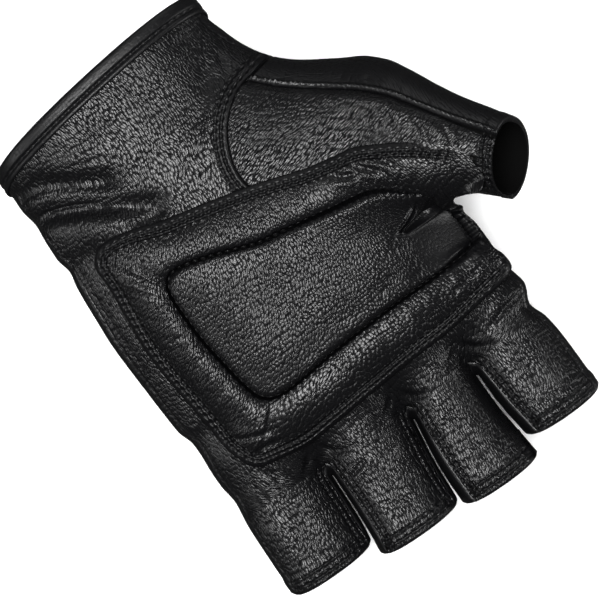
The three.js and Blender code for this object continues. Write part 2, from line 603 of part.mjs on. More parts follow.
// A sheet is a list of surface points, their outward directions and its four-sided cells.
class Sheet {
  constructor() {
    this.points = [];
    this.outward = [];
    this.cells = [];
  }

  add(p, outward) {
    this.points.push(p);
    this.outward.push(outward ?? outwardAt(p));
    return this.points.length - 1;
  }

  grid(rows) {
    for (let i = 0; i < rows.length - 1; i++) {
      for (let j = 0; j < rows[i].length - 1; j++) {
        this.cells.push([rows[i][j], rows[i][j + 1], rows[i + 1][j + 1], rows[i + 1][j]]);
      }
    }
  }

  // Triangles, each turned to face outwards.
  triangles() {
    const list = [];
    this.cells.forEach((cell) => {
      const [a, b, c, d] = cell;
      const pairs = cell.length === 3 ? [[a, b, c]] : this.split(a, b, c, d);
      pairs.forEach((t) => {
        if (new Set(t).size === 3) list.push(t);
      });
    });
    let facing = 0;
    list.forEach(([a, b, c]) => {
      const normal = new THREE.Vector3().subVectors(this.points[b], this.points[a])
        .cross(new THREE.Vector3().subVectors(this.points[c], this.points[a]));
      facing += normal.dot(this.outward[a]);
    });
    return facing > 0 ? list : list.map(([a, b, c]) => [a, c, b]);
  }

  split(a, b, c, d) {
    const p = this.points;
    return p[a].distanceTo(p[c]) <= p[b].distanceTo(p[d]) ? [[a, b, c], [a, c, d]] : [[a, b, d], [b, c, d]];
  }

  // Moves the edge of the sheet back from the seam line by half the gap between pieces.
  trimmed(triangles, amount) {
    const edges = boundary(triangles);
    const onEdge = new Set(edges.flat());
    const neighbours = new Map([...onEdge].map((i) => [i, new Set()]));
    const edgeNeighbours = new Map([...onEdge].map((i) => [i, []]));
    edges.forEach(([a, b]) => {
      edgeNeighbours.get(a).push(b);
      edgeNeighbours.get(b).push(a);
    });
    this.cells.forEach((cell) => cell.forEach((i) => {
      if (onEdge.has(i)) cell.forEach((j) => !onEdge.has(j) && neighbours.get(i).add(j));
    }));
    const moved = this.points.map((p) => p.clone());
    onEdge.forEach((i) => {
      const sum = new THREE.Vector3();
      neighbours.get(i).forEach((j) => {
        sum.add(new THREE.Vector3().subVectors(this.points[j], this.points[i]).normalize());
      });
      if (neighbours.get(i).size === 0) {
        edgeNeighbours.get(i).forEach((j) => {
          sum.add(new THREE.Vector3().subVectors(this.points[j], this.points[i]).normalize());
        });
      }
      // Square to the seam, within the surface.
      const [a, b] = edgeNeighbours.get(i);
      const along = new THREE.Vector3().subVectors(this.points[a], this.points[b]).normalize();
      if (neighbours.get(i).size > 0) sum.addScaledVector(along, -sum.dot(along));
      sum.addScaledVector(this.outward[i], -sum.dot(this.outward[i]));
      if (sum.length() < 1e-6) return;
      sum.normalize();
      // A sharp corner steps further back, to clear both of its seams.
      const lean = Math.min(...[a, b].map((j) => new THREE.Vector3().subVectors(this.points[j], this.points[i])
        .normalize().cross(sum).length()));
      moved[i].addScaledVector(sum, amount / Math.max(lean, SHARPEST));
    });
    return moved;
  }
}

// Edges that belong to one triangle only, in that triangle's direction.
function boundary(triangles) {
  const seen = new Map();
  triangles.forEach(([a, b, c]) => [[a, b], [b, c], [c, a]].forEach(([i, j]) => seen.set(`${i},${j}`, [i, j])));
  return [...seen.values()].filter(([i, j]) => !seen.has(`${j},${i}`));
}

// A closed solid between two offsets of a sheet; each offset may differ from point to point.
function solidFrom(sheet, outer, inner, trim) {
  const triangles = sheet.triangles();
  const base = trim > 0 ? sheet.trimmed(triangles, trim) : sheet.points;
  const offset = (i, amount) => base[i].clone()
    .addScaledVector(sheet.outward[i], typeof amount === 'function' ? amount(i) : amount).add(DATUM);
  const count = base.length;
  const positions = [];
  for (let i = 0; i < count; i++) positions.push(...offset(i, outer).toArray());
  for (let i = 0; i < count; i++) positions.push(...offset(i, inner).toArray());
  const index = [];
  triangles.forEach(([a, b, c]) => index.push(a, b, c, a + count, c + count, b + count));
  // The rim: neighbours share their seam points, so the shorter diagonal suits both.
  const corner = (i) => new THREE.Vector3().fromArray(positions, i * 3);
  boundary(triangles).forEach(([a, b]) => {
    const [one, two] = [corner(a).distanceTo(corner(b + count)), corner(b).distanceTo(corner(a + count))];
    if (one <= two) index.push(a, a + count, b + count, a, b + count, b);
    else index.push(a, a + count, b, b, a + count, b + count);
  });
  const geometry = new THREE.BufferGeometry();
  geometry.setAttribute('position', new THREE.Float32BufferAttribute(positions, 3));
  geometry.setIndex(index);
  return geometry;
}

// Palm and back.

function panel(face) {
  const { row, angles } = columnFractions(face);
  const fractions = angles.map((angle) => (angle - angles[0]) / (angles[angles.length - 1] - angles[0]));
  const sheet = new Sheet();
  const rows = sideRows.map((_, i) => handRow(i, face, fractions).map((p) => sheet.add(p)));
  const lastRow = row.map((p) => sheet.add(p));
  rows.push(lastRow);
  sheet.grid(rows);
  let column = 0;
  for (let k = 3; k >= 0; k--) {
    const columns = face ? FACE_COLUMNS[k] : BACK_COLUMNS[k];
    const fingerRows = [lastRow.slice(column, column + columns + 1)];
    FINGER_ROWS.slice(1).forEach((f) => fingerRows.push(fingerRow(k, face, f).map((p) => sheet.add(p))));
    sheet.grid(fingerRows);
    column += columns;
  }
  return { sheet, fractions };
}

// Gussets.

function gusset(k) {
  const sheet = new Sheet();
  const stations = [
    ...FINGER_ROWS.slice(1).reverse().map((f) => (w) => fingerWall(k, 1, w, f)),
    (w) => webPoint(k, w),
    ...FINGER_ROWS.slice(1).map((f) => (w) => fingerWall(k + 1, -1, w, f)),
  ];
  sheet.grid(stations.map((station) => {
    const row = [];
    for (let i = 0; i <= GUSSET_STEPS; i++) row.push(sheet.add(station(i / GUSSET_STEPS)));
    return row;
  }));
  return sheet;
}

// Thumb.

function thumbPoint(angle, s) {
  const { cx, cz, a, b } = thumb.section(s);
  const [x, y] = fromThumb(s, cx);
  const across = a * Math.cos(angle);
  const direction = new THREE.Vector3(across * thumbAcross[0], across * thumbAcross[1], b * Math.sin(angle)).normalize();
  return leaveAt(new THREE.Vector3(x, y, cz), direction);
}

function thumbCoordinates(p) {
  const [s, t] = toThumb(p.x, p.y);
  const { cx, cz, a, b } = thumb.section(s);
  return { s, angle: Math.atan2((p.z - cz) / b, (t - cx) / a) };
}

function thumbMouth(angle) {
  let s = MOUTH_AT;
  for (let i = 0; i < 6; i++) {
    const { cz } = thumb.section(s);
    s = MOUTH_AT - (thumbPoint(angle, s).z - cz) * Math.tan(radians(MOUTH_TILT));
  }
  return s;
}

// The seam loop round the thumb's base: from the thumb crotch over the palm to the wrist,
// then back to the crotch under the hand.
function thumbLoop() {
  const wristRow = sideRows[CUFF_ROWS.length + WRIST_ROWS.length - 1];
  const crotchRow = sideRows[CUFF_ROWS.length + WRIST_ROWS.length + THUMB_SEAM.length];
  const wrist = handPoint(sideSeam(wristRow.radial, -1), wristRow.radial);
  const crotch = handPoint(sideSeam(crotchRow.radial, -1), crotchRow.radial);
  const seams = sideRows.filter((r) => r.front);
  return [crotch, ...seams.map((r) => r.front).reverse(), wrist, ...seams.map((r) => r.back), crotch];
}

function thumbSheets() {
  const loop = thumbLoop();
  const ridge = RIDGE_ROW;
  let before = -Infinity;
  const columns = loop.map((base, j) => {
    const { s, angle } = thumbCoordinates(base);
    const start = angle < before - 0.2 ? angle + 2 * Math.PI : angle;
    before = start;
    const end = radians(j <= ridge
      ? mix(THUMB_UNDER, THUMB_RIDGE, j / ridge)
      : mix(THUMB_RIDGE, THUMB_UNDER + 360, (j - ridge) / (loop.length - 1 - ridge)));
    const mouth = thumbMouth(end);
    const column = [base];
    for (let i = 1; i <= THUMB_ROWS; i++) {
      const f = i / THUMB_ROWS;
      column.push(thumbPoint(mix(start, end, f), mix(s, mouth, f)));
    }
    return column;
  });
  return [columns.slice(0, ridge + 1), columns.slice(ridge)].map((part) => {
    const sheet = new Sheet();
    sheet.grid(part.map((column) => column.map((p) => sheet.add(p))));
    return sheet;
  });
}

// Palm pad.

function padSheet() {
  const sheet = new Sheet();
  const thickness = [];
  const [[ax, ay], [bx, by]] = PAD_SPINE;
  const place = (x, y, t) => {
    thickness.push(t);
    return sheet.add(surfaceOver(x, y, 1));
  };
  const rings = [];
  BORDER_RINGS.forEach(({ at, border, thickness: own }) => rings.push(PAD.map(([ex, ey, cx, cy, crest]) => (
    place(mix(ex, cx, at), mix(ey, cy, at), border ? Math.max(border * crest, CHANNEL) : own)))));
  PAD_RINGS.forEach(({ at, thickness: own }) => rings.push(PAD.map(([, , cx, cy]) => {
    const t = THREE.MathUtils.clamp(((cx - ax) * (bx - ax) + (cy - ay) * (by - ay))
      / ((bx - ax) ** 2 + (by - ay) ** 2), 0, 1);
    return place(mix(cx, mix(ax, bx, t), at), mix(cy, mix(ay, by, t), at), own);
  })));
  sheet.grid(rings.map((ring) => [...ring, ring[0]]));
  zipShut(sheet, rings[rings.length - 1]);
  return { sheet, thickness };
}

// Closes a narrow ring with cross strips between its two long sides.
function zipShut(sheet, ring) {
  const count = ring.length;
  const xs = ring.map((i) => sheet.points[i].x);
  const start = xs.indexOf(Math.min(...xs));
  const end = xs.indexOf(Math.max(...xs));
  const at = (i) => ring[((i % count) + count) % count];
  let [one, two] = [start, start];
  const ahead = ((end - start) + count) % count;
  const behind = count - ahead;
  while (one - start < ahead || start - two < behind) {
    const canOne = one - start < ahead;
    const canTwo = start - two < behind;
    if (canOne && (!canTwo || sheet.points[at(one + 1)].x <= sheet.points[at(two - 1)].x)) {
      sheet.cells.push([at(one), at(one + 1), at(two)]);
      one += 1;
    } else {
      sheet.cells.push([at(two), at(one), at(two - 1)]);
      two -= 1;
    }
  }
}

// Cuff binding.

// The binding's section: distance from the cuff edge, height over the panels' outside.
const OUT = PIECE_GAP;
const IN = -PANEL - PIECE_GAP;
const MIDDLE = CUFF_ROWS[1];
const BINDING_SECTION = [
  [BINDING_WIDTH, OUT], [BINDING_WIDTH, OUT + BINDING], [MIDDLE, OUT + BINDING], [BINDING_STEP, OUT + BINDING],
  [0, OUT + BINDING - BINDING_FOLD], [0, IN - BINDING + BINDING_FOLD], [BINDING_STEP, IN - BINDING],
  [MIDDLE, IN - BINDING], [BINDING_WIDTH - 1, IN - BINDING], [BINDING_WIDTH - 1, IN], [MIDDLE, IN],
  [BINDING, IN], [BINDING, OUT], [MIDDLE, OUT],
];

function bindingGeometry(frontFractions, backFractions) {
  const angles = [
    ...frontFractions.map((t) => mix(CUFF_SEAM_ULNAR, CUFF_SEAM_RADIAL, t)),
    ...backFractions.slice(1, -1).map((t) => mix(CUFF_SEAM_ULNAR, CUFF_SEAM_RADIAL - 2 * Math.PI, t)).reverse(),
  ];
  const positions = [];
  angles.forEach((angle) => BINDING_SECTION.forEach(([distance, height]) => {
    const p = cuffPoint(angle, distance);
    positions.push(...p.addScaledVector(outwardAt(p), height).add(DATUM).toArray());
  }));
  const [around, across] = [angles.length, BINDING_SECTION.length];
  const index = [];
  for (let i = 0; i < around; i++) {
    for (let j = 0; j < across; j++) {
      const [a, b] = [i * across + j, i * across + ((j + 1) % across)];
      const [c, d] = [((i + 1) % around) * across + ((j + 1) % across), ((i + 1) % around) * across + j];
      index.push(a, c, b, a, d, c);
    }
  }
  const geometry = new THREE.BufferGeometry();
  geometry.setAttribute('position', new THREE.Float32BufferAttribute(positions, 3));
  geometry.setIndex(index);
  return geometry;
}

// The glove.

const glove = new THREE.Group();

function addPiece(name, geometry, color, roughness) {
  geometry.computeVertexNormals();
  const mesh = new THREE.Mesh(geometry, new THREE.MeshStandardMaterial({ color, roughness, metalness: 0 }));
  mesh.name = name;
  glove.add(mesh);
}

const GRAIN = 0x1b1b1d;
const SMOOTH = 0x141416;
const front = panel(true);
const back = panel(false);
addPiece('palm_panel', solidFrom(front.sheet, 0, -PANEL, TRIM), GRAIN, 0.5);
addPiece('back_panel', solidFrom(back.sheet, 0, -PANEL, TRIM), GRAIN, 0.55);
FINGERS.slice(0, 3).forEach((finger, k) => {
  addPiece(`gusset_${finger.name}`, solidFrom(gusset(k), 0, -GUSSET, GUSSET_TRIM), SMOOTH, 0.55);
});
const [thumbFront, thumbBack] = thumbSheets();
addPiece('thumb_front', solidFrom(thumbFront, 0, -PANEL, TRIM), GRAIN, 0.5);
addPiece('thumb_back', solidFrom(thumbBack, 0, -PANEL, TRIM), SMOOTH, 0.55);
const pad = padSheet();
const padLift = (i) => PAD_LIFT + PAD_LIFT_SIDES * (1 - pad.sheet.outward[i].z);
addPiece('palm_pad', solidFrom(pad.sheet, (i) => padLift(i) + pad.thickness[i], padLift, 0), GRAIN, 0.48);
addPiece('cuff_binding', bindingGeometry(front.fractions, back.fractions), SMOOTH, 0.4);

export default glove;
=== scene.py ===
"""Fingerless leather glove for the left hand, lying palm up: its looks, made round its solids.

Tables are in millimetres from a datum in the palm: x towards the little finger, y towards
the fingertips, z up from the floor. Finished meshes are in metres in the glove's own frame.
"""
import logging
import math
from dataclasses import dataclass
from enum import Enum

import bpy
import numpy as np
from mathutils.bvhtree import BVHTree
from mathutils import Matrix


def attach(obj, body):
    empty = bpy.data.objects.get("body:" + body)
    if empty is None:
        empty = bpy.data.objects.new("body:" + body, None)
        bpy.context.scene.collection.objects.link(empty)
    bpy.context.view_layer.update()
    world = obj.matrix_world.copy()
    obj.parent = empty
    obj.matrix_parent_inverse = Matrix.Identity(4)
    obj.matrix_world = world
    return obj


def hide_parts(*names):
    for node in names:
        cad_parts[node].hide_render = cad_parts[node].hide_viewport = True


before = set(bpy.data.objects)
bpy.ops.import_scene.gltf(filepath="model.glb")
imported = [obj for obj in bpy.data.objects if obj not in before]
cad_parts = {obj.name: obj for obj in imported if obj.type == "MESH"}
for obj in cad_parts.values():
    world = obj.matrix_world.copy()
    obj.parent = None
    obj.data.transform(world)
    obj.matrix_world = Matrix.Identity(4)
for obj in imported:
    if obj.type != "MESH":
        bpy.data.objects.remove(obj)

log = logging.getLogger("glove")
Array = np.ndarray
Path = tuple[tuple[float, float], ...]
Tree, Socket = bpy.types.NodeTree, bpy.types.NodeSocket
Piece, Material = bpy.types.Object, bpy.types.Material

MM = 0.001
DATUM = np.array([35.24, -112.39, 0.0])
# How far the inside of the leather lies under the glove's surface, and the patch above it
PANEL = 1.5
GUSSET = 1.3
PAD_LIFT = 0.35
# The attributes that hold a piece's rows of stitches: neighbouring rows use different ones
LANES = ("stitches_a", "stitches_b")
# How much shorter the back is than the palm side, at the cuff and at the fingertips
CUFF_RAKE = 8.0
TIP_RAKE = 4.5
# How far inside the outline palm and back meet
SIDE_SEAM = 1.5
# Cuff edge: y on the thumb side and on the little-finger side, sag, and how fast it rakes
CUFF_RADIAL = 28.3
CUFF_ULNAR = 38.0
CUFF_SAG = 1.0
CUFF_CORNER = 1.4
# y of the webs between the fingers
CROTCH_FRONT = 161.5
CROTCH_BACK = 158.0
# The thumb's opening: degrees that it leans back, and its place along the thumb
MOUTH_TILT = 23.8
MOUTH_AT = -1.6

# Hand: along, thumb side, little-finger side, top, bottom
HAND = np.array([
    (20, -44.9, 28.4, 41, 2.6), (37, -45.3, 28.5, 41, 2.4), (44, -47.2, 29.4, 40.6, 2.2),
    (50, -48.6, 29.7, 40, 1.4), (60, -51.2, 28.9, 39.6, -0.6), (70, -56, 29.1, 40.2, -1.4),
    (75, -59, 28.2, 40.4, -1.6), (80, -61, 29.1, 40.4, -1.6), (92, -66, 30, 39.8, -1.6),
    (100, -68.4, 30.4, 39.2, -1.6), (115, -71.8, 29.9, 37.6, -1.6), (124, -73.2, 29.5, 36.6, -1.6),
    (130, -73.6, 29.1, 35.8, -1.6), (135, -73.9, 27.6, 35.2, -1.5), (143, -73.9, 27, 34, -1.2),
    (150, -73.6, 26.2, 31.5, -0.6), (156, -70, 22.5, 26.5, 1.5), (161, -66, 18, 20.5, 4.5),
    (166, -60, 12, 15, 7.5),
])
HAND_POWER = 2.4
HAND_END = 163.0
FINGER_POWER = 2.3
FINGER_NAMES = ("index", "middle", "ring", "little")
FINGER_TIPS = (189.7, 195.4, 193.6, 189.0)
# Fingers, with the same columns as the hand
FINGERS = [np.array(rows) for rows in (
    [(136, -70.5, -52, 27, 4), (146, -73.7, -50.8, 29.4, 1.6), (152, -75.9, -50.5, 29.4, 1.1),
     (157.5, -74.1, -50.5, 29.0, 0.9), (163, -75.9, -50.4, 28.5, 0.9), (170, -76.7, -50.5, 28.0, 1.2),
     (177, -76.9, -50.7, 27.8, 1.8), (184, -77.0, -51.5, 27.6, 2.4), (192, -77.1, -52.4, 27.6, 3.2)],
    [(136, -48, -31, 27, 4), (146, -49.4, -29.5, 30.6, 1.6), (156, -49.8, -28.9, 30.8, 0.9),
     (165, -49.8, -28.4, 30.0, 1.0), (175, -49.9, -27.0, 29.6, 1.6), (183, -50.6, -26.2, 29.5, 2.4),
     (197, -51.9, -25.8, 29.6, 3.6)],
    [(136, -26, -4, 27, 4), (146, -27.8, -1.6, 30.4, 1.6), (156, -28.4, -0.8, 30.6, 0.9),
     (165, -27.9, -0.2, 29.8, 1.0), (175, -26.5, 0.1, 29.3, 1.6), (183, -25.7, 0.6, 29.2, 2.4),
     (195, -25.2, 2.0, 29.2, 3.6)],
    [(136, 0.6, 22.5, 26, 4), (146, 0.4, 26.2, 28.6, 1.6), (156, 0.3, 27.2, 28.4, 0.9),
     (165, 0.3, 28.3, 27.4, 1.0), (175, 0.6, 28.6, 26.8, 1.6), (183, 1.1, 28.7, 26.4, 2.4),
     (191, 2.1, 28.7, 26.2, 3.2)],
)]
# Where each finger's palm face starts and ends and its back starts and ends, degrees
FINGER_SEAMS = ((42, 148, 148, 320), (42, 172, 215, 320), (35, 155, 215, 320), (29, 155, 215, 389))
# Columns of each finger's net, on the palm side and on the back
COLUMNS = {True: (6, 6, 6, 6), False: (6, 4, 4, 6)}
# x of the gaps between the fingers
FINGER_GAPS = (-50.6, -25.8, 0.6)
FINGER_ROWS = np.array([0, 0.12, 0.27, 0.45, 0.63, 0.82, 1])
# Webs: the point from which they are drawn, where the slots between the fingers start,
# how far a web may stand over its finger's wall, and half a slot's width
WEB_Y, WEB_Z, WEB_MIDDLE, WEB_REACH, SLOT_HALF = 146.0, 14.0, 165.0, 1.5, 0.3

THUMB_DATUM = np.array([-93.7, 122.0])
THUMB_TURN = math.radians(48)
THUMB_POWER = 2.1
# Thumb: along, outer side, side towards the fingers, top, bottom
THUMB = np.array([
    (-92, -19, 20, 34, 3), (-78, -20, 26, 37.5, 0.6), (-65, -21.4, 28, 39, 0),
    (-53, -23.4, 27, 40.8, 0.4), (-45, -24.9, 24, 42.2, 1.8), (-40, -24.6, 21, 43.4, 4.2),
    (-33, -22.4, 17.5, 44.8, 8.6), (-25, -19.1, 14.6, 46.4, 14), (-17, -16.3, 12.5, 48, 19),
    (-10, -14.5, 11.5, 49.4, 23), (0, -12, 11.5, 51.2, 26.4), (6, -11.4, 11.5, 52.2, 28.6),
])
THUMB_START = -88.0
# Angles round the thumb of its raised seam and of the end of its net, degrees
THUMB_RIDGE = 126.0
THUMB_UNDER = -22.0
# How far the raised seam strays from its angle, in degrees, by share of the thumb's length
RIDGE_SWAY = ((0.0, 0.3, 0.6, 1.0), (0.0, 2.0, -6.5, -9.5))
# How deep the thumb's palm side sinks at its opening
THUMB_DIP = 1.5
THUMB_ROWS = 9
RIDGE_ROW = 12
# Sizes of the fillets; those between the fingers by y
BLEND_HAND = 6.0
BLEND_THUMB = 9.0
BLEND_FINGERS = np.array([(150, 6.0), (158, 4.6), (164, 2.2), (171, 0.5), (176, 0.3)])
# Folds across the little-finger side of the wrist: depth, half-width, points
FOLDS = (
    (1.6, 3.2, ((5, 60), (12, 55.6), (20, 50.7), (27, 49.5))),
    (1.6, 3.4, ((-2, 74), (8, 67.2), (15, 62.2), (22, 59), (28, 58.5))),
)
CUFF_ROWS = np.array([1.5, 3.75, 6.3])
# Rows over the wrist: thumb side, little-finger side, share of the cuff's rake
WRIST_ROWS = np.array([(41.0, 50.0, 0.75), (46.5, 54.5, 0.5), (52.0, 58.5, 0.25), (57.5, 62.0, 0)])
# Thumb base seam: palm side x, y; under the hand x, y, or height and y where it climbs the
# side; little-finger end of the row
THUMB_SEAM = (
    ((-51.3, 58), "side", (20.5, 57.9), 63.5), ((-48.5, 58.6), "side", (14.5, 58.4), 65),
    ((-44.5, 59.3), "side", (9.5, 59.3), 66.7), ((-39.5, 60.9), "under", (-50.5, 61.5), 69),
    ((-34, 65), "under", (-52.5, 66.5), 73), ((-30, 70.3), "under", (-54.2, 72.5), 77.5),
    ((-27.4, 77), "under", (-55.8, 79), 83), ((-27.6, 84.5), "under", (-57.2, 86), 89),
    ((-33.5, 90.5), "under", (-58.8, 93), 95), ((-42.5, 97), "under", (-60.6, 100), 101),
    ((-52.5, 104.5), "under", (-62.8, 106.5), 107), ((-61.5, 111.6), "under", (-65.6, 112.2), 112.5),
    ((-67.5, 116.6), "side", (9, 117.6), 116.8), ((-70, 119.6), "side", (15.5, 120.4), 119.6),
)
SIDE_START = -45.0
# Rows over the palm, with the same columns as those over the wrist
PALM_ROWS = np.array([
    (122.3, 122.7, 0), (128, 128.5, 0), (134.5, 135, 0), (141, 141.5, 0), (147, 147.5, 0),
    (152, 152.5, 0), (157, 157.2, 0),
])
# Palm pad: edge x, edge y, channel x, channel y, height of the puffy border
PAD = np.array([
    (-82, 109.4, -67, 113.6, 1.5), (-78, 105.5, -64, 111, 1.8), (-72, 100.5, -60.5, 107.8, 2.3),
    (-65, 96, -55, 104.6, 2.8), (-58, 92.4, -49, 103.4, 3.2), (-50, 90.8, -42, 102.3, 3.4),
    (-42, 89, -35, 101.1, 3.5), (-35, 86.6, -28, 100, 3.5), (-27, 84.2, -21, 98.9, 3.5),
    (-17, 81.7, -14, 96.5, 3.5), (-8, 79.6, -7, 94, 3.5), (0, 77.8, -1, 92.3, 3.5),
    (6, 75.5, 3, 91.7, 3.5), (11.5, 74.2, 5.5, 92.3, 3.5), (17, 74.2, 7, 94, 3.2),
    (20.5, 77.5, 7.8, 97, 3.2), (21, 85, 8, 101, 3.2), (22, 95, 8, 106, 3.2),
    (22.8, 105.5, 7.8, 112, 3.2), (22.5, 115, 7.1, 118, 3.2), (21.6, 124.5, 6.2, 124.5, 3.2),
    (20.6, 134.5, 5, 131, 3.2), (19.4, 144.5, 3.8, 134.6, 3.2), (16.5, 150.5, 1.5, 136.9, 3.2),
    (9, 152.6, -3, 137.7, 3.2), (0, 153.6, -9, 137.4, 3.2), (-10, 153.3, -17, 136.6, 3.2),
    (-20, 152.4, -25, 136, 3.2), (-30, 151.5, -34, 135.6, 3.2), (-40, 151, -43, 135.3, 3.2),
    (-50, 150.5, -52, 135.3, 3.2), (-59, 149.5, -59.5, 135.3, 3.2), (-65.5, 148.6, -64, 135.2, 3.1),
    (-69.2, 148, -66.4, 135.1, 3), (-71.6, 147.4, -68, 134.9, 2.8),
    (-71.8, 138, -69.8, 134.2, 2.2), (-71.6, 130, -70.4, 129, 2.2), (-71, 123.6, -69.8, 123, 2),
    (-73, 120.2, -69.2, 119, 1.5), (-78, 121.2, -68.8, 117.6, 1.4), (-82.2, 122, -68.4, 116.6, 1.4),
    (-83, 115.6, -68, 115.2, 1.4),
])
PAD_SPINE = np.array([(-52.0, 119.0), (-14.0, 115.0)])
# Where the pad's edge leaves the thumb's leather, and the direction from it into the pad
PAD_ON_THUMB = np.array([(-78.0, 106.9), (-86.9, 115.9)])
PAD_INWARD = np.array([0.574, 0.819])

# The oval inside the hand from which the hand's rows are drawn
GUIDE_Z, GUIDE_B, GUIDE_WIDE, GUIDE_HIGH = 15.0, 17.0, 0.68, 0.3
# y at which the cuff's side seams are read
CUFF_SEAM_RADIAL, CUFF_SEAM_ULNAR = 40.0, 46.0


def mix(start: Array, end: Array, share: Array) -> Array:
    """Goes in a straight line from start (share 0) to end (share 1)."""
    return start + (end - start) * share


def smoothstep(x: Array, low: float, high: float) -> Array:
    """Rises from 0 at low to 1 at high: 3t^2 - 2t^3."""
    t = np.clip((x - low) / (high - low), 0.0, 1.0)
    return t * t * (3.0 - 2.0 * t)


def fading(x: Array, low: float, high: float) -> Array:
    """Falls from 1 at low to 0 at high as smoothstep rises."""
    return smoothstep(-x, -high, -low)


def bell(x: Array, width: float) -> Array:
    """A soft hump: e to the minus (x / width) squared."""
    return np.exp(-np.square(x / width))


def unit(v: Array) -> Array:
    """Vectors brought to length 1."""
    return v / np.maximum(np.linalg.norm(v, axis=-1, keepdims=True), 1e-12)


def point(*xyz: Array) -> Array:
    """Stacks coordinates of any matching shapes into points."""
    return np.stack(np.broadcast_arrays(*[np.asarray(c, float) for c in xyz]), axis=-1)


def arc_lengths(path: Array) -> Array:
    """Length along a path up to each of its points."""
    return np.append(0.0, np.cumsum(np.linalg.norm(np.diff(path, axis=0), axis=1)))


def cell_normals(points: Array, quads: Array) -> Array:
    """Directions square to four-sided cells: the cross product of their diagonals."""
    return np.cross(points[quads[:, 2]] - points[quads[:, 0]], points[quads[:, 3]] - points[quads[:, 1]])


class Curve:
    """A smooth curve through the rows of a table that never swings past a row.

    Between rows it is a cubic; its slope at a row is the harmonic mean of the slopes of
    the two neighbouring stretches, or zero where they differ in sign.
    """

    def __init__(self, xs: Array, ys: Array) -> None:
        """Works out the slopes.

        Args:
            xs: where the rows stand, rising.
            ys: the rows, one value or several columns each.
        """
        self.xs, ys = np.asarray(xs, float), np.asarray(ys, float)
        self.flat = ys.ndim == 1
        self.ys = ys[:, None] if self.flat else ys
        slope = np.diff(self.ys, axis=0) / np.diff(self.xs)[:, None]
        same = slope[:-1] * slope[1:] > 0
        total = np.where(same, slope[:-1] + slope[1:], 1.0)
        inner = np.where(same, 2.0 * slope[:-1] * slope[1:] / total, 0.0)
        self.tangents = np.vstack([slope[:1], inner, slope[-1:]])

    def __call__(self, x: Array) -> Array:
        """Reads the curve.

        Args:
            x: places of any shape; past the ends the end rows hold.

        Returns:
            The values, with the columns last if the table has several.
        """
        x = np.clip(np.asarray(x, float), self.xs[0], self.xs[-1])
        i = np.clip(np.searchsorted(self.xs, x, side="right") - 1, 0, len(self.xs) - 2)
        h = (self.xs[i + 1] - self.xs[i])[..., None]
        t = (x - self.xs[i])[..., None] / h
        rise = t * t * (3.0 - 2.0 * t)
        value = self.ys[i] * (1.0 - rise) + self.ys[i + 1] * rise
        value += h * t * (1.0 - t) * (self.tangents[i] * (1.0 - t) - self.tangents[i + 1] * t)
        return value[..., 0] if self.flat else value


class Tube:
    """A tube of superellipse sections: |x/a|^n + |z/b|^n = 1 round a middle that wanders."""

    def __init__(self, rows: Array, power: float) -> None:
        """Keeps the table: along, one side, other side, top, bottom; and the power n.

        Args:
            rows: along, one side, other side, top and bottom.
            power: n.
        """
        self.start = float(rows[0, 0])
        self.power = power
        self.rows = Curve(rows[:, 0], rows[:, 1:])

    def section(self, y: Array) -> tuple[Array, Array, Array, Array]:
        """Middle x, middle z, half width and half height of the section at y."""
        low, high, top, bottom = np.moveaxis(self.rows(y), -1, 0)
        return (low + high) / 2, (top + bottom) / 2, (high - low) / 2, (top - bottom) / 2

    def distance(self, x: Array, z: Array, section: tuple[Array, Array, Array, Array]) -> Array:
        """Distance from the wall, below zero inside: (q - 1) over the slope of q.

        Args:
            x: places across.
            z: heights.
            section: the section there.

        Returns:
            The distances.
        """
        cx, cz, a, b = section
        dx, dz, n = np.abs(x - cx) / a, np.abs(z - cz) / b, self.power
        q = np.maximum((dx**n + dz**n) ** (1.0 / n), 1e-3)
        slope = np.hypot((dx / q) ** (n - 1.0) / a, (dz / q) ** (n - 1.0) / b)
        return np.where(q > 1e-3, (q - 1.0) / np.maximum(slope, 1e-9), -np.minimum(a, b))


def soft_join(first: Array, second: Array, size: Array) -> Array:
    """Joins two surfaces with a fillet: the lower distance, less h^2 * size / 4."""
    h = np.maximum(size - np.abs(first - second), 0.0) / size
    return np.minimum(first, second) - h * h * size / 4.0


def path_distance(path: Array | Path, x: Array, y: Array) -> tuple[Array, Array]:
    """Finds how far plan places lie from a path of straight stretches.

    Args:
        path: its corners, x and y.
        x: places, any shape.
        y: the same.

    Returns:
        The distance, and the length along the path there.
    """
    best = np.full(np.broadcast(x, y).shape, np.inf)
    along = np.zeros(best.shape)
    run = 0.0
    for (ax, ay), (bx, by) in zip(path[:-1], path[1:]):
        length = math.hypot(bx - ax, by - ay)
        ux, uy = (bx - ax) / length, (by - ay) / length
        t = np.clip((x - ax) * ux + (y - ay) * uy, 0.0, length)
        d = np.hypot(x - ax - t * ux, y - ay - t * uy)
        along = np.where(d < best, run + t, along)
        best = np.minimum(d, best)
        run += length
    return best, along


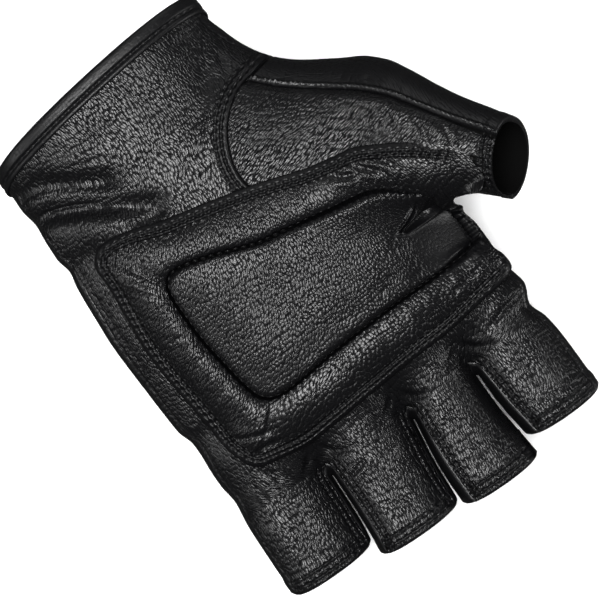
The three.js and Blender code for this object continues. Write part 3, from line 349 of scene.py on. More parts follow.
class GloveForm:
    """The outer surface of the whole glove, as a distance that is below zero inside it."""

    def __init__(self) -> None:
        """Makes the tubes from the tables."""
        self.hand = Tube(HAND, HAND_POWER)
        self.fingers = [Tube(rows, FINGER_POWER) for rows in FINGERS]
        self.thumb = Tube(THUMB, THUMB_POWER)
        self.finger_blend = Curve(BLEND_FINGERS[:, 0], BLEND_FINGERS[:, 1])
        self.along = np.array([-math.sin(THUMB_TURN), math.cos(THUMB_TURN)])
        self.across = np.array([math.cos(THUMB_TURN), math.sin(THUMB_TURN)])

    def to_thumb(self, x: Array, y: Array) -> tuple[Array, Array]:
        """Plan place as lengths along and across the thumb, from the thumb's datum."""
        dx, dy = x - THUMB_DATUM[0], y - THUMB_DATUM[1]
        return (dx * self.along[0] + dy * self.along[1], dx * self.across[0] + dy * self.across[1])

    def from_thumb(self, s: Array, t: Array) -> tuple[Array, Array]:
        """Lengths along and across the thumb as a plan place."""
        return (THUMB_DATUM[0] + s * self.along[0] + t * self.across[0],
                THUMB_DATUM[1] + s * self.along[1] + t * self.across[1])

    def distance(self, p: Array) -> Array:
        """Distance from the surface: the tubes softly joined, the wrist folds pressed in,
        narrow slots cut between the fingers, and all of it cut flat by the floor.

        Args:
            p: the points.

        Returns:
            The distances.
        """
        x, y, z = p[..., 0], p[..., 1], p[..., 2]
        blend = self.finger_blend(y)
        tips = None
        sections = [finger.section(y) for finger in self.fingers]
        for finger, section in zip(self.fingers, sections):
            d = finger.distance(x, z, section) + np.maximum(finger.start - y, 0.0)
            tips = d if tips is None else soft_join(tips, d, blend)
        palm = self.hand.distance(x, z, self.hand.section(y)) + np.maximum(y - HAND_END, 0.0)
        body = soft_join(palm, tips, BLEND_HAND)
        s, t = self.to_thumb(x, y)
        wall = self.thumb.distance(t, z, self.thumb.section(s)) + np.maximum(THUMB_START - s, 0.0)
        body = soft_join(body, wall, BLEND_THUMB)
        upper = smoothstep(z, 12.0, 30.0) * (y < 90.0)
        for depth, width, path in FOLDS:
            body = body + upper * depth * bell(path_distance(path, x, y)[0], width)
        for left, right in zip(sections[:-1], sections[1:]):
            middle = (left[0] + left[2] + right[0] - right[2]) / 2
            slot = np.minimum(SLOT_HALF - np.abs(x - middle), y - WEB_MIDDLE)
            body = np.where(y > WEB_MIDDLE, np.maximum(body, slot), body)
        return np.maximum(body, -z)

    def thumb_dip(self, p: Array) -> Array:
        """How far the thumb's palm side sinks towards its opening.

        Args:
            p: the points.

        Returns:
            The depths.
        """
        return THUMB_DIP * fading(self.below_mouth(p), 4.0, 17.0)

    def below_mouth(self, p: Array) -> Array:
        """How far points lie below the thumb's opening."""
        s, _ = self.to_thumb(p[..., 0], p[..., 1])
        return MOUTH_AT - (p[..., 2] - self.thumb.section(s)[1]) * math.tan(math.radians(MOUTH_TILT)) - s

    def slope(self, p: Array) -> Array:
        """How the distance rises along x, y and z, from samples 0.05 mm each way."""
        steps = np.eye(3) * 0.05
        return np.stack([(self.distance(p + e) - self.distance(p - e)) / 0.1 for e in steps], axis=-1)

    def outward(self, p: Array) -> Array:
        """Directions square to the surface, away from the glove."""
        return unit(self.slope(p))

    def settle(self, p: Array, rounds: int = 3) -> Array:
        """Moves points that are near the surface onto it, along the steepest slope.

        Args:
            p: the points.
            rounds: how many moves.

        Returns:
            The points of the surface.
        """
        for _ in range(rounds):
            slope = self.slope(p)
            size = np.maximum(np.sum(slope * slope, axis=-1), 0.05)
            p = p - slope * (np.clip(self.distance(p), -1.0, 1.0) / size)[..., None]
        return p

    def leave(self, start: Array, way: Array, step: float = 0.5, limit: Array = 90.0) -> Array:
        """Finds where lines from inside first leave the glove.

        Args:
            start: points inside, any shape.
            way: their directions.
            step: least length of the first search's steps.
            limit: how far the search may go.

        Returns:
            The points of the surface.
        """
        start, way = np.broadcast_arrays(start, way)
        shape = start.shape[:-1]
        start, way = start.reshape(-1, 3), way.reshape(-1, 3)
        limit = np.broadcast_to(limit, shape).reshape(-1)
        near, far = np.zeros(len(start)), np.full(len(start), step)
        going = np.arange(len(start))
        while len(going):
            d = self.distance(start[going] + way[going] * far[going, None])
            inside = (d < 0) & (far[going] < limit[going])
            going, d = going[inside], d[inside]
            near[going] = far[going]
            left = np.maximum(limit[going] - far[going], step)
            far[going] += np.minimum(np.maximum(step, -0.5 * d), left)
        for _ in range(20):
            middle = (near + far) / 2
            inside = self.distance(start + way * middle[:, None]) < 0
            near, far = np.where(inside, middle, near), np.where(inside, far, middle)
        return (start + way * near[:, None]).reshape(*shape, 3)

    def over(self, x: Array, y: Array, side: int = 1) -> Array:
        """Drops plan places onto the glove from above (side 1) or below (side -1).

        Each point falls by nine tenths of its distance from the surface, which never
        carries it through.

        Args:
            x: places across.
            y: places along.
            side: from above or below.

        Returns:
            The points of the surface.
        """
        p = point(x, y, 75.0 if side > 0 else -15.0)
        for _ in range(40):
            p[..., 2] -= side * 0.9 * np.maximum(self.distance(p), 0.0)
        return p


FORM = GloveForm()


class Pattern:
    """The nets of points that the leather pieces are cut to; pieces share their seams."""

    def __init__(self, form: GloveForm) -> None:
        """Finds the webs between the fingers and the side edges of the hand's rows.

        Args:
            form: the glove's surface.
        """
        self.form = form
        low = np.where(HAND[:, 0] > 148, np.minimum(HAND[:, 1], -74.0), HAND[:, 1])
        high = np.where(HAND[:, 0] > 140, np.maximum(HAND[:, 2], 27.5), HAND[:, 2])
        self.guide = Curve(HAND[:, 0], np.stack([low, high], axis=-1))
        self.web_ends = [
            (form.over(self.crotch_x(k, CROTCH_FRONT), CROTCH_FRONT, 1),
             form.over(self.crotch_x(k, CROTCH_BACK), CROTCH_BACK, -1)) for k in range(3)]
        self.cuff_seams = (float(self.side_seam(np.array([CUFF_SEAM_ULNAR]), 1)[0]),
                           float(self.side_seam(np.array([CUFF_SEAM_RADIAL]), -1)[0]))

    def hand_point(self, angle: Array, y: Array) -> Array:
        """Surface point of the hand at an angle round its inner oval.

        Args:
            angle: angles, in radians.
            y: places along the hand.

        Returns:
            The points of the surface.
        """
        low, high = np.moveaxis(self.guide(y), -1, 0)
        a, cx = (high - low) / 2, (high + low) / 2
        height = GUIDE_Z + GUIDE_HIGH * GUIDE_B * np.sin(angle)
        start = point(cx + GUIDE_WIDE * a * np.cos(angle), y, height)
        way = unit(point(np.cos(angle) / np.sqrt(a), 0.0, np.sin(angle) / math.sqrt(GUIDE_B)))
        return self.form.leave(start, way)

    def hand_angle(self, p: Array, face: bool) -> Array:
        """The angle whose line passes through a point; the back's angles run below zero.

        Args:
            p: the points.
            face: the palm side or not.

        Returns:
            The angles.
        """
        low_x, high_x = np.moveaxis(self.guide(p[..., 1]), -1, 0)
        a, cx = (high_x - low_x) / 2, (high_x + low_x) / 2

        def side(angle: Array) -> Array:
            """On which side of the line the point lies.

            Args:
                angle: the line's angle.

            Returns:
                Whether it lies to its left.
            """
            sx = cx + GUIDE_WIDE * a * np.cos(angle)
            sz = GUIDE_Z + GUIDE_HIGH * GUIDE_B * np.sin(angle)
            return ((p[..., 0] - sx) * np.sin(angle) / math.sqrt(GUIDE_B)
                    - (p[..., 2] - sz) * np.cos(angle) / np.sqrt(a)) > 0

        guess = np.arctan2((p[..., 2] - GUIDE_Z) / GUIDE_B, (p[..., 0] - cx) / a)
        low, high = guess - math.radians(50), guess + math.radians(50)
        first = side(low)
        for _ in range(30):
            middle = (low + high) / 2
            same = side(middle) == first
            low, high = np.where(same, middle, low), np.where(same, high, middle)
        return low if face else np.where(low > math.pi / 2, low - 2 * math.pi, low)

    def side_seam(self, y: Array, sign: int) -> Array:
        """Angle where palm and back meet: a little inside the outline, on the palm side.

        Args:
            y: places along the hand.
            sign: 1 towards the little finger, or -1.

        Returns:
            The angles.
        """
        def turned(angle: Array) -> Array:
            """The same angle seen from either side."""
            return angle if sign > 0 else math.pi - angle

        angles = np.radians(np.arange(-20, 61, 2))
        reach = self.hand_point(turned(angles)[None, :], y[:, None])[..., 0] * sign
        low, high = angles[reach.argmax(axis=1)], np.full(len(y), math.radians(60))
        for _ in range(20):
            middle = (low + high) / 2
            inside = self.hand_point(turned(middle), y)[..., 0] * sign > reach.max(axis=1) - SIDE_SEAM
            low, high = np.where(inside, middle, low), np.where(inside, high, middle)
        return turned(low)

    def finger_point(self, k: int, angle: Array, y: Array) -> Array:
        """Surface point of finger k at an angle round its middle line.

        Args:
            k: the finger.
            angle: angles, in radians.
            y: places along it.

        Returns:
            The points of the surface.
        """
        cx, cz, a, b = self.form.fingers[k].section(y)
        way = point(a * np.cos(angle), 0.0, b * np.sin(angle))
        n = FINGER_POWER
        stretch = (np.abs(np.cos(angle)) ** n + np.abs(np.sin(angle)) ** n) ** (-1 / n)
        reach = np.linalg.norm(way, axis=-1) * stretch
        return self.form.leave(point(cx, y, cz), unit(way), 0.1, reach + WEB_REACH)

    def finger_angle(self, k: int, p: Array) -> Array:
        """Angle of a point round finger k."""
        cx, cz, a, b = self.form.fingers[k].section(p[..., 1])
        return np.arctan2((p[..., 2] - cz) / b, (p[..., 0] - cx) / a)

    def finger_tip(self, k: int, angle: Array) -> Array:
        """How far finger k reaches at an angle: its back is the shorter side.

        Args:
            k: the finger.
            angle: angles, in radians.

        Returns:
            The places along it.
        """
        _, cz, _, b = self.form.fingers[k].section(FINGER_TIPS[k])
        height = self.finger_point(k, angle, FINGER_TIPS[k])[..., 2]
        return FINGER_TIPS[k] - TIP_RAKE * (cz + b - height) / (2 * b)

    def crotch_x(self, k: int, y: float) -> float:
        """Midway between fingers k and k + 1."""
        left, right = self.form.fingers[k].section(y), self.form.fingers[k + 1].section(y)
        return float(left[0] + left[2] + right[0] - right[2]) / 2

    def web_point(self, k: int, w: Array) -> Array:
        """The web between fingers k and k + 1, from the palm side (0) to the back (1).

        Args:
            k: the finger before it.
            w: shares of the way.

        Returns:
            The points of the surface.
        """
        front, back = self.web_ends[k]
        ends = [math.atan2(p[2] - WEB_Z, p[1] - WEB_Y) for p in (front, back)]
        angle = mix(ends[0], ends[1], np.asarray(w, float))
        start = np.array([self.crotch_x(k, WEB_MIDDLE), WEB_Y, WEB_Z])
        web = self.form.leave(start, point(0.0, np.cos(angle), np.sin(angle)))
        web = np.where(np.asarray(w)[..., None] == 0, front, web)
        return np.where(np.asarray(w)[..., None] == 1, back, web)

    def finger_wall(self, k: int, side: int, w: Array, f: Array) -> Array:
        """Edges of a finger's wall: w from palm seam to back seam, f from web to tip.

        Args:
            k: the finger.
            side: 1 towards the next finger, or -1.
            w: shares across.
            f: shares along.

        Returns:
            The points of the surface.
        """
        face_from, face_to, back_from, back_to = np.radians(FINGER_SEAMS[k])
        w, f = np.broadcast_arrays(np.asarray(w, float), np.asarray(f, float))
        web = self.web_point(k if side > 0 else k - 1, w)
        start = self.finger_angle(k, web)
        start = np.where((side < 0) & (start < 0), start + 2 * math.pi, start)
        end = mix(face_from, back_to - 2 * math.pi, w) if side > 0 else mix(face_to, back_from, w)
        angle = mix(start, end, np.sqrt(f))
        wall = self.finger_point(k, angle, mix(web[..., 1], self.finger_tip(k, end), f))
        return np.where(f[..., None] == 0, web, wall)

    def outer_seam(self, k: int, f: Array) -> Array:
        """The one seam on the outer side of the index or the little finger."""
        angle = math.radians(FINGER_SEAMS[0][1] if k == 0 else FINGER_SEAMS[3][0])
        return self.finger_point(k, angle, mix(CROTCH_FRONT, self.finger_tip(k, angle), f))

    def finger_net(self, k: int, face: bool) -> Array:
        """Rows across a finger's palm face or back, from its root to its tip.

        Args:
            k: the finger.
            face: the palm side or not.

        Returns:
            The net.
        """
        f = FINGER_ROWS
        w = np.full(len(f), 0.0 if face else 1.0)
        first = self.outer_seam(3, f) if k == 3 else self.finger_wall(k, 1, w, f)
        last = self.outer_seam(0, f) if k == 0 else self.finger_wall(k, -1, w, f)
        count = COLUMNS[face][k]
        t = np.arange(count + 1) / count
        turned = 0.0 if face else 2 * math.pi
        end = self.finger_angle(k, last)
        end = np.where(end < 0, end + 2 * math.pi, end) - turned
        angle = mix(self.finger_angle(k, first)[:, None], end[:, None], t[None, :])
        face_from, face_to, back_from, back_to = np.radians(FINGER_SEAMS[k])
        tip = self.finger_tip(k, mix(face_from, face_to, t) if face else mix(back_to, back_from, t))
        ends = [CROTCH_FRONT if face or outer else CROTCH_BACK for outer in (k == 3, k == 0)]
        root = mix(ends[0], ends[1], t)
        net = self.finger_point(k, angle, mix(root[None, :], tip[None, :], f[:, None]))
        net[:, 0], net[:, -1] = first, last
        return net

    def cuff_line(self, angle: Array, y: Array) -> tuple[Array, Array]:
        """The cuff's edge, and how much further the back half of it sits from the cuff.

        Args:
            angle: angles, in radians.
            y: places along the hand.

        Returns:
            Both lengths.
        """
        p = self.hand_point(angle, y)
        cx, cz, a, b = self.form.hand.section(y)
        t = np.clip((p[..., 0] - (cx - a)) / (2 * a), 0.0, 1.0)
        drop = np.clip((cz + b - p[..., 2]) / (2 * b), 0.0, 1.0)
        edge = mix(CUFF_RADIAL, CUFF_ULNAR, t) - CUFF_SAG * np.sin(math.pi * t)
        return edge, CUFF_RAKE * drop**CUFF_CORNER

    def cuff_point(self, angle: Array, distance: Array) -> Array:
        """A point of the cuff at a distance from its edge.

        Args:
            angle: angles, in radians.
            distance: how far from the edge.

        Returns:
            The points of the surface.
        """
        y = np.full(np.broadcast(angle, distance).shape, (CUFF_RADIAL + CUFF_ULNAR) / 2)
        for _ in range(4):
            edge, rake = self.cuff_line(angle, y)
            y = edge + rake + distance
        return self.hand_point(angle, y)

    def hand_net(self, face: bool) -> tuple[Array, list[Array]]:
        """Rows across the palm or the back from the cuff to the fingers, and the fingers.

        Args:
            face: True for the palm side.

        Returns:
            The hand's net, its columns running from the little-finger side, and the nets
            of the little, ring, middle and index fingers.
        """
        fingers = [self.finger_net(k, face) for k in (3, 2, 1, 0)]
        last_row = np.vstack([net[0] if i == 0 else net[0, 1:] for i, net in enumerate(fingers)])
        angles = self.hand_angle(last_row, face)
        share = (angles - angles[0]) / (angles[-1] - angles[0])
        to = self.cuff_seams[1] - (0.0 if face else 2 * math.pi)
        cuff = self.cuff_point(mix(self.cuff_seams[0], to, share)[None, :], CUFF_ROWS[:, None])
        seams = self.thumb_edges(face)
        plain = np.vstack([WRIST_ROWS, PALM_ROWS])
        plain_high = self.side_seam(plain[:, 0], -1) - (0.0 if face else 2 * math.pi)
        n = len(WRIST_ROWS)
        ulnar = np.concatenate([plain[:n, 1], [row[3] for row in THUMB_SEAM], plain[n:, 1]])
        radial = np.concatenate([plain[:n, 0], seams[:, 1], plain[n:, 0]])
        high = np.concatenate([plain_high[:n], self.hand_angle(seams, face), plain_high[n:]])
        rake = np.concatenate([plain[:n, 2], np.zeros(len(seams)), plain[n:, 2]])
        low = self.side_seam(ulnar, 1)
        angle = mix(low[:, None], high[:, None], share[None, :])
        y = mix(ulnar[:, None], radial[:, None], share[None, :])
        y = y + rake[:, None] * np.where(rake[:, None] > 0, self.cuff_line(angle, y)[1], 0.0)
        rows = self.hand_point(angle, y)
        rows[n:n + len(seams), -1] = seams
        return np.vstack([cuff, rows, last_row[None]]), fingers

    def thumb_edges(self, face: bool) -> Array:
        """Points of the thumb's base seam, on the palm side or under the hand.

        Args:
            face: the palm side or not.

        Returns:
            The points, from the wrist.
        """
        if face:
            plan = np.array([row[0] for row in THUMB_SEAM])
            return self.form.over(plan[:, 0], plan[:, 1], 1)
        plan = np.array([row[2] for row in THUMB_SEAM])
        under = np.array([row[1] == "under" for row in THUMB_SEAM])
        below = self.form.over(plan[:, 0], plan[:, 1], -1)
        side = self.form.leave(point(SIDE_START, plan[:, 1], plan[:, 0]), np.array([-1.0, 0.0, 0.0]))
        return np.where(under[:, None], below, side)

    def thumb_point(self, angle: Array, s: Array) -> Array:
        """Surface point of the thumb at an angle round it and a length along it.

        Args:
            angle: angles, in radians.
            s: lengths along it.

        Returns:
            The points of the surface.
        """
        cx, cz, a, b = self.form.thumb.section(s)
        x, y = self.form.from_thumb(s, cx)
        across = a * np.cos(angle)
        way = point(across * self.form.across[0], across * self.form.across[1], b * np.sin(angle))
        return self.form.leave(point(x, y, cz), unit(way))

    def thumb_mouth(self, angle: Array) -> Array:
        """Length along the thumb where its opening lies: the opening leans back.

        Args:
            angle: angles, in radians.

        Returns:
            The lengths.
        """
        s = np.full(np.shape(angle), MOUTH_AT)
        for _ in range(6):
            rise = self.thumb_point(angle, s)[..., 2] - self.form.thumb.section(s)[1]
            s = MOUTH_AT - rise * math.tan(math.radians(MOUTH_TILT))
        return s

    def thumb_nets(self) -> tuple[Array, Array]:
        """Nets of the thumb's palm side and of its outer side and back.

        Each column runs from the base seam to the opening; the columns go round the seam
        from the thumb crotch over the palm to the wrist and back under the hand.

        Returns:
            Both nets.
        """
        ends = np.array([PALM_ROWS[0, 0], WRIST_ROWS[-1, 0]])
        crotch, wrist = self.hand_point(self.side_seam(ends, -1), ends)
        loop = np.vstack([crotch, self.thumb_edges(True)[::-1], wrist, self.thumb_edges(False), crotch])
        s, t = self.form.to_thumb(loop[:, 0], loop[:, 1])
        cx, cz, a, b = self.form.thumb.section(s)
        start = np.arctan2((loop[:, 2] - cz) / b, (t - cx) / a)
        wrapped = np.maximum.accumulate(np.diff(start, prepend=start[0]) < -0.2)
        start = start + 2 * math.pi * wrapped
        j, last = np.arange(len(loop)), len(loop) - 1
        end = np.radians(np.where(
            j <= RIDGE_ROW, mix(THUMB_UNDER, THUMB_RIDGE, j / RIDGE_ROW),
            mix(THUMB_RIDGE, THUMB_UNDER + 360, (j - RIDGE_ROW) / (last - RIDGE_ROW))))
        f = np.arange(THUMB_ROWS + 1)[None, :] / THUMB_ROWS
        sway = np.interp(j, [0, RIDGE_ROW, last], [0.0, 1.0, 0.0])[:, None] * np.interp(f, *RIDGE_SWAY)
        end = end + np.radians(sway[:, -1])
        net = self.thumb_point(mix(start[:, None], end[:, None], f) + np.radians(sway - sway[:, -1:] * f),
                               mix(s[:, None], self.thumb_mouth(end)[:, None], f))
        net[:, 0] = loop
        return net[:RIDGE_ROW + 1], net[RIDGE_ROW:]

    def gusset_net(self, k: int) -> Array:
        """Net of the folded strip between fingers k and k + 1.

        Args:
            k: the finger before it.

        Returns:
            The net.
        """
        w = np.arange(5) / 4
        f = FINGER_ROWS[1:, None]
        near = self.finger_wall(k, 1, w[None, :], f)[::-1]
        far = self.finger_wall(k + 1, -1, w[None, :], f)
        return np.concatenate([near, self.web_point(k, w)[None], far])


def cuts(net: Array, cell: float) -> Array:
    """How many steps of about one cell each stretch between the net's rows needs, even in all.

    Args:
        net: the net.
        cell: the size to aim at.

    Returns:
        The steps of each stretch.
    """
    length = np.linalg.norm(np.diff(net, axis=0), axis=-1).max(axis=1)
    steps = np.maximum(1, np.ceil(length / cell).astype(int))
    steps[np.argmax(length)] += steps.sum() % 2
    return steps


def smooth_rows(net: Array, counts: Array) -> Array:
    """Carries cubics through a net's rows.

    Between two rows each column is a cubic; its slope at a row is that of the parabola
    through the row and its neighbours, measured in length along the column.

    Args:
        net: points by row and column.
        counts: steps between each row and the next.

    Returns:
        The finer net.
    """
    step = np.linalg.norm(np.diff(net, axis=0), axis=-1, keepdims=True) + 1e-9
    slope = np.diff(net, axis=0) / step
    inner = (step[1:] * slope[:-1] + step[:-1] * slope[1:]) / (step[1:] + step[:-1])
    tangent = np.concatenate([slope[:1], inner, slope[-1:]])
    i = np.append(np.repeat(np.arange(len(counts)), counts), len(counts) - 1)
    t = np.append(np.concatenate([np.arange(c) / c for c in counts]), 1.0)[:, None, None]
    rise = t * t * (3.0 - 2.0 * t)
    fine = net[i] * (1.0 - rise) + net[i + 1] * rise
    return fine + step[i] * t * (1.0 - t) * (tangent[i] * (1.0 - t) - tangent[i + 1] * t)


def finer(net: Array, rows: Array, columns: Array) -> Array:
    """A smooth finer net."""
    return np.swapaxes(smooth_rows(np.swapaxes(smooth_rows(net, rows), 0, 1), columns), 0, 1)


def refine(net: Array, rows: Array, columns: Array) -> Array:
    """A smooth finer net, its points settled on the glove's surface."""
    return FORM.settle(finer(net, rows, columns))


def unrolled(across: Array, along: Array, height: Array) -> Array:
    """Lays a net out flat: as seen from above at its middle column, the rest rolled out to
    both sides by the lengths between its columns.

    Args:
        across: plan places of the points across the sheet, growing or falling by column.
        along: plan places along it.
        height: their heights.

    Returns:
        The flat places, by row and column.
    """
    step = np.hypot(np.diff(across, axis=1, prepend=across[:, :1]),
                    np.diff(height, axis=1, prepend=height[:, :1]))
    run = np.cumsum(step, axis=1) * np.sign(across[:, -1:] - across[:, :1])
    middle = across.shape[1] // 2
    return np.stack([across[:, [middle]] + run - run[:, [middle]], along, np.zeros_like(along)], axis=-1)


def spread(net: Array, counts: Array) -> Array:
    """How far along the leather each row of the finer net lies, on average.

    Args:
        net: the net.
        counts: steps between each row and the next.

    Returns:
        The length down to each finer row.
    """
    length = np.linalg.norm(np.diff(net, axis=0), axis=-1).mean(axis=1)
    at = np.append(np.concatenate([i + np.arange(c) / c for i, c in enumerate(counts)]), len(counts))
    return np.interp(at, np.arange(len(length) + 1), np.append(0.0, np.cumsum(length)))


def lay(across: Array, along: Array) -> Array:
    """Flat places on the hide for a grid, from those of its columns and its rows."""
    return np.stack(np.broadcast_arrays(across[None, :], along[:, None], 0.0), axis=-1)


def grid_quads(rows: int, columns: int, closed: bool = False) -> Array:
    """Four-sided cells of a grid whose points are numbered row by row.

    Args:
        rows: how many rows of points.
        columns: how many points a row has.
        closed: whether each row is a ring.

    Returns:
        The cells' corners.
    """
    i, j = np.meshgrid(np.arange(rows - 1), np.arange(columns if closed else columns - 1), indexing="ij")
    k = (j + 1) % columns
    corners = [i * columns + j, i * columns + k, (i + 1) * columns + k, (i + 1) * columns + j]
    return np.stack(corners, axis=-1).reshape(-1, 4)


@dataclass
class Hide:
    """A sheet of leather as points, outward directions, flat places and four-sided cells,
    with cells of twice the size for its inside."""

    points: Array
    outward: Array
    laid: Array
    quads: Array
    under: Array

    @classmethod
    def from_grids(cls, grids: list[Array], laid: list[Array]) -> "Hide":
        """Joins grids of surface points, merging those that meet.

        Args:
            grids: arrays of points by row and column.
            laid: their places on the flat hide.

        Returns:
            The sheet, with its cells turned to face outwards.
        """
        points = np.vstack([g.reshape(-1, 3) for g in grids])
        starts = np.cumsum([0] + [g.shape[0] * g.shape[1] for g in grids[:-1]])
        _, first, same = np.unique(np.round(points, 3), axis=0, return_index=True, return_inverse=True)
        numbers = [same.reshape(-1)[s + np.arange(g.shape[0] * g.shape[1])].reshape(g.shape[:2])
                   for g, s in zip(grids, starts)]
        quads = np.vstack([n.reshape(-1)[grid_quads(*n.shape)] for n in numbers])
        under = np.vstack([n[::2, ::2].reshape(-1)[grid_quads(*n[::2, ::2].shape)] for n in numbers])
        points = points[first]
        outward = FORM.outward(points)
        facing = np.sum(cell_normals(points, quads) * outward[quads[:, 0]])
        laid = np.vstack([g.reshape(-1, 3) for g in laid])[first]
        turned = slice(None, None, 1 if facing > 0 else -1)
        return cls(points, outward, laid, quads[:, turned], under[:, turned])

    @classmethod
    def from_net(cls, net: Array, cell: float, flat: Array | None = None) -> "Hide":
        """Refines one net, and its flat places if they are given, to cells of a size.

        Args:
            net: the net.
            cell: the size to aim at.
            flat: the net's flat places.

        Returns:
            The sheet.
        """
        rows, columns = cuts(net, cell), cuts(np.swapaxes(net, 0, 1), cell)
        laid = lay(spread(np.swapaxes(net, 0, 1), columns), spread(net, rows))
        laid = laid if flat is None else finer(flat, rows, columns)
        return cls.from_grids([refine(net, rows, columns)], [laid])

    def edge_distance(self) -> Array:
        """How far each point lies from the sheet's nearest edge, up to 6 mm."""
        return nearest(self.points, self.points[np.unique(boundary(self.quads))])[0]


def boundary(quads: Array) -> Array:
    """Edges that belong to one cell only, in that cell's direction.

    Args:
        quads: four-sided cells, all turned the same way.

    Returns:
        The edges' two ends.
    """
    edges = np.stack([quads, np.roll(quads, -1, axis=1)], axis=-1).reshape(-1, 2)
    edges = edges[edges[:, 0] != edges[:, 1]]
    size = int(edges.max()) + 1
    code, back = edges[:, 0] * size + edges[:, 1], edges[:, 1] * size + edges[:, 0]
    return edges[~np.isin(code, back)]


def make_piece(name: str, vertices: Array, faces: list[Array], inside: int = 0,
               **marks: Array) -> Piece:
    """Makes a mesh object at the origin from datum millimetres, and rides it on the glove.

    Args:
        name: the piece's name.
        vertices: points in datum millimetres.
        faces: arrays of faces, each with one number of corners.
        inside: how many of the last faces have the inner finish.
        marks: values at the first points, by attribute.

    Returns:
        The new object.
    """
    mesh = bpy.data.meshes.new(name)
    faces = [face for group in faces for face in group.tolist()]
    mesh.from_pydata(((vertices + DATUM) * MM).tolist(), [], faces)
    for key, values in marks.items():
        filled = np.zeros((len(vertices), 3), np.float32)
        filled[:len(values)] = values
        mesh.attributes.new(key, "FLOAT_VECTOR", "POINT").data.foreach_set("vector", filled.reshape(-1))
    finish = np.zeros(len(faces), np.int32)
    finish[len(faces) - inside:] = 1
    mesh.polygons.foreach_set("material_index", finish)
    mesh.validate()
    mesh.update()
    mesh.shade_smooth()
    mesh.set_sharp_from_angle(angle=math.radians(50))
    piece = bpy.data.objects.new(name, mesh)
    bpy.context.scene.collection.objects.link(piece)
    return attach(piece, "root")


def leather_wall(name: str, hide: Hide, rise: Array, wall: float, sewing: "Stitching | None" = None,
                 lift: Array | None = None) -> Piece:
    """Gives a sheet its thickness as one closed wall.

    Args:
        name: the piece's name.
        hide: the sheet.
        rise: how far the outside stands over the sheet's surface.
        wall: how far the inside lies under the sheet's surface.
        sewing: the stitches on its outside.
        lift: how far the outside is raised straight up as well.

    Returns:
        The piece.
    """
    outer = hide.points + hide.outward * rise[:, None]
    if lift is not None:
        outer[:, 2] += lift
    kept, under = np.unique(hide.under, return_inverse=True)
    inner = hide.points[kept] - hide.outward[kept] * wall
    under = under.reshape(-1, 4) + len(outer)
    # Each long edge of the inside meets two short ones of the outside
    follow = np.zeros(len(outer), int)
    edge, long_edge = boundary(hide.quads), boundary(hide.under)
    follow[edge[:, 0]] = edge[:, 1]
    start, end = long_edge.T
    below = len(outer) + np.searchsorted(kept, long_edge)
    rim = np.stack([end, follow[start], start, below[:, 0], below[:, 1]], axis=-1)
    lanes = dict(zip(LANES, sewing.marks)) if sewing else {}
    return make_piece(name, np.vstack([outer, inner]), [hide.quads, rim, under[:, ::-1]], len(under),
                      laid=np.vstack([hide.laid, hide.laid[kept]]), **lanes)


def waves(s: Array, lengths: tuple[float, ...], seed: int) -> Array:
    """Uneven ripples between about -1 and 1: a sum of sines with seeded phases and weights.

    Args:
        s: places.
        lengths: the lengths of the waves.
        seed: which ripples.

    Returns:
        The heights.
    """
    chance = np.random.default_rng(seed)
    weights = chance.uniform(0.6, 1.0, len(lengths))
    phases = chance.uniform(0.0, 2 * math.pi, len(lengths))
    total = sum(w * np.sin(2 * math.pi * s / length + p) for w, length, p in zip(weights, lengths, phases))
    return total / weights.sum()


def rolled(d: Array, radius: float, depth: float) -> Array:
    """An edge turned under: a quarter circle that falls by depth within radius of the edge."""
    t = np.clip(1.0 - d / radius, 0.0, 1.0)
    return -depth * (1.0 - np.sqrt(1.0 - t * t * 0.98))


def nearest(points: Array, targets: Array, reach: float = 6.0) -> tuple[Array, Array]:
    """Finds each point's nearest target within reach.

    The points are sorted into boxes one reach wide, and each box is compared with the
    targets that lie in or beside it.

    Args:
        points: the points.
        targets: the targets.
        reach: how far to look.

    Returns:
        How far the nearest target is, at most the reach, and which it is.
    """
    far, which = np.full(len(points), reach), np.zeros(len(points), int)
    boxes = np.floor(points / reach).astype(int)
    order = np.lexsort(boxes.T)
    starts = np.flatnonzero(np.any(np.diff(boxes[order], axis=0, prepend=boxes[order[:1]] - 1), axis=1))
    for group in np.split(order, starts[1:]):
        low = boxes[group[0]] * reach
        near = np.flatnonzero(np.all((targets > low - reach) & (targets < low + 2 * reach), axis=1))
        if len(near) == 0:
            continue
        d = np.linalg.norm(points[group][:, None] - targets[near][None], axis=-1)
        best = d.argmin(axis=1)
        far[group] = np.minimum(d[np.arange(len(group)), best], reach)
        which[group] = near[best]
    return far, which


def even(path: Array, pitch: float) -> Array:
    """Points along a path, as near to one pitch apart as its length allows.

    Args:
        path: points along it.
        pitch: the distance to aim at.

    Returns:
        The new points.
    """
    run = arc_lengths(path)
    at = np.linspace(0.0, run[-1], max(2, round(run[-1] / pitch) + 1))
    return np.stack([np.interp(at, run, path[:, i]) for i in range(path.shape[1])], axis=-1)


def beside(path: Array, offset: float) -> Array:
    """A plan path moved sideways, to its left for a positive offset."""
    way = unit(np.gradient(path[:, :2], axis=0))
    return path[:, :2] + np.stack([-way[:, 1], way[:, 0]], axis=-1) * offset


def rounded(path: Array, steps: int = 8) -> Array:
    """A smooth plan path through the corners of one.

    Args:
        path: its corners.
        steps: new stretches for each old one.

    Returns:
        The finer path.
    """
    net = np.zeros((len(path), 1, 3))
    net[:, 0, :2] = path[:, :2]
    return smooth_rows(net, np.full(len(path) - 1, steps))[:, 0, :2]


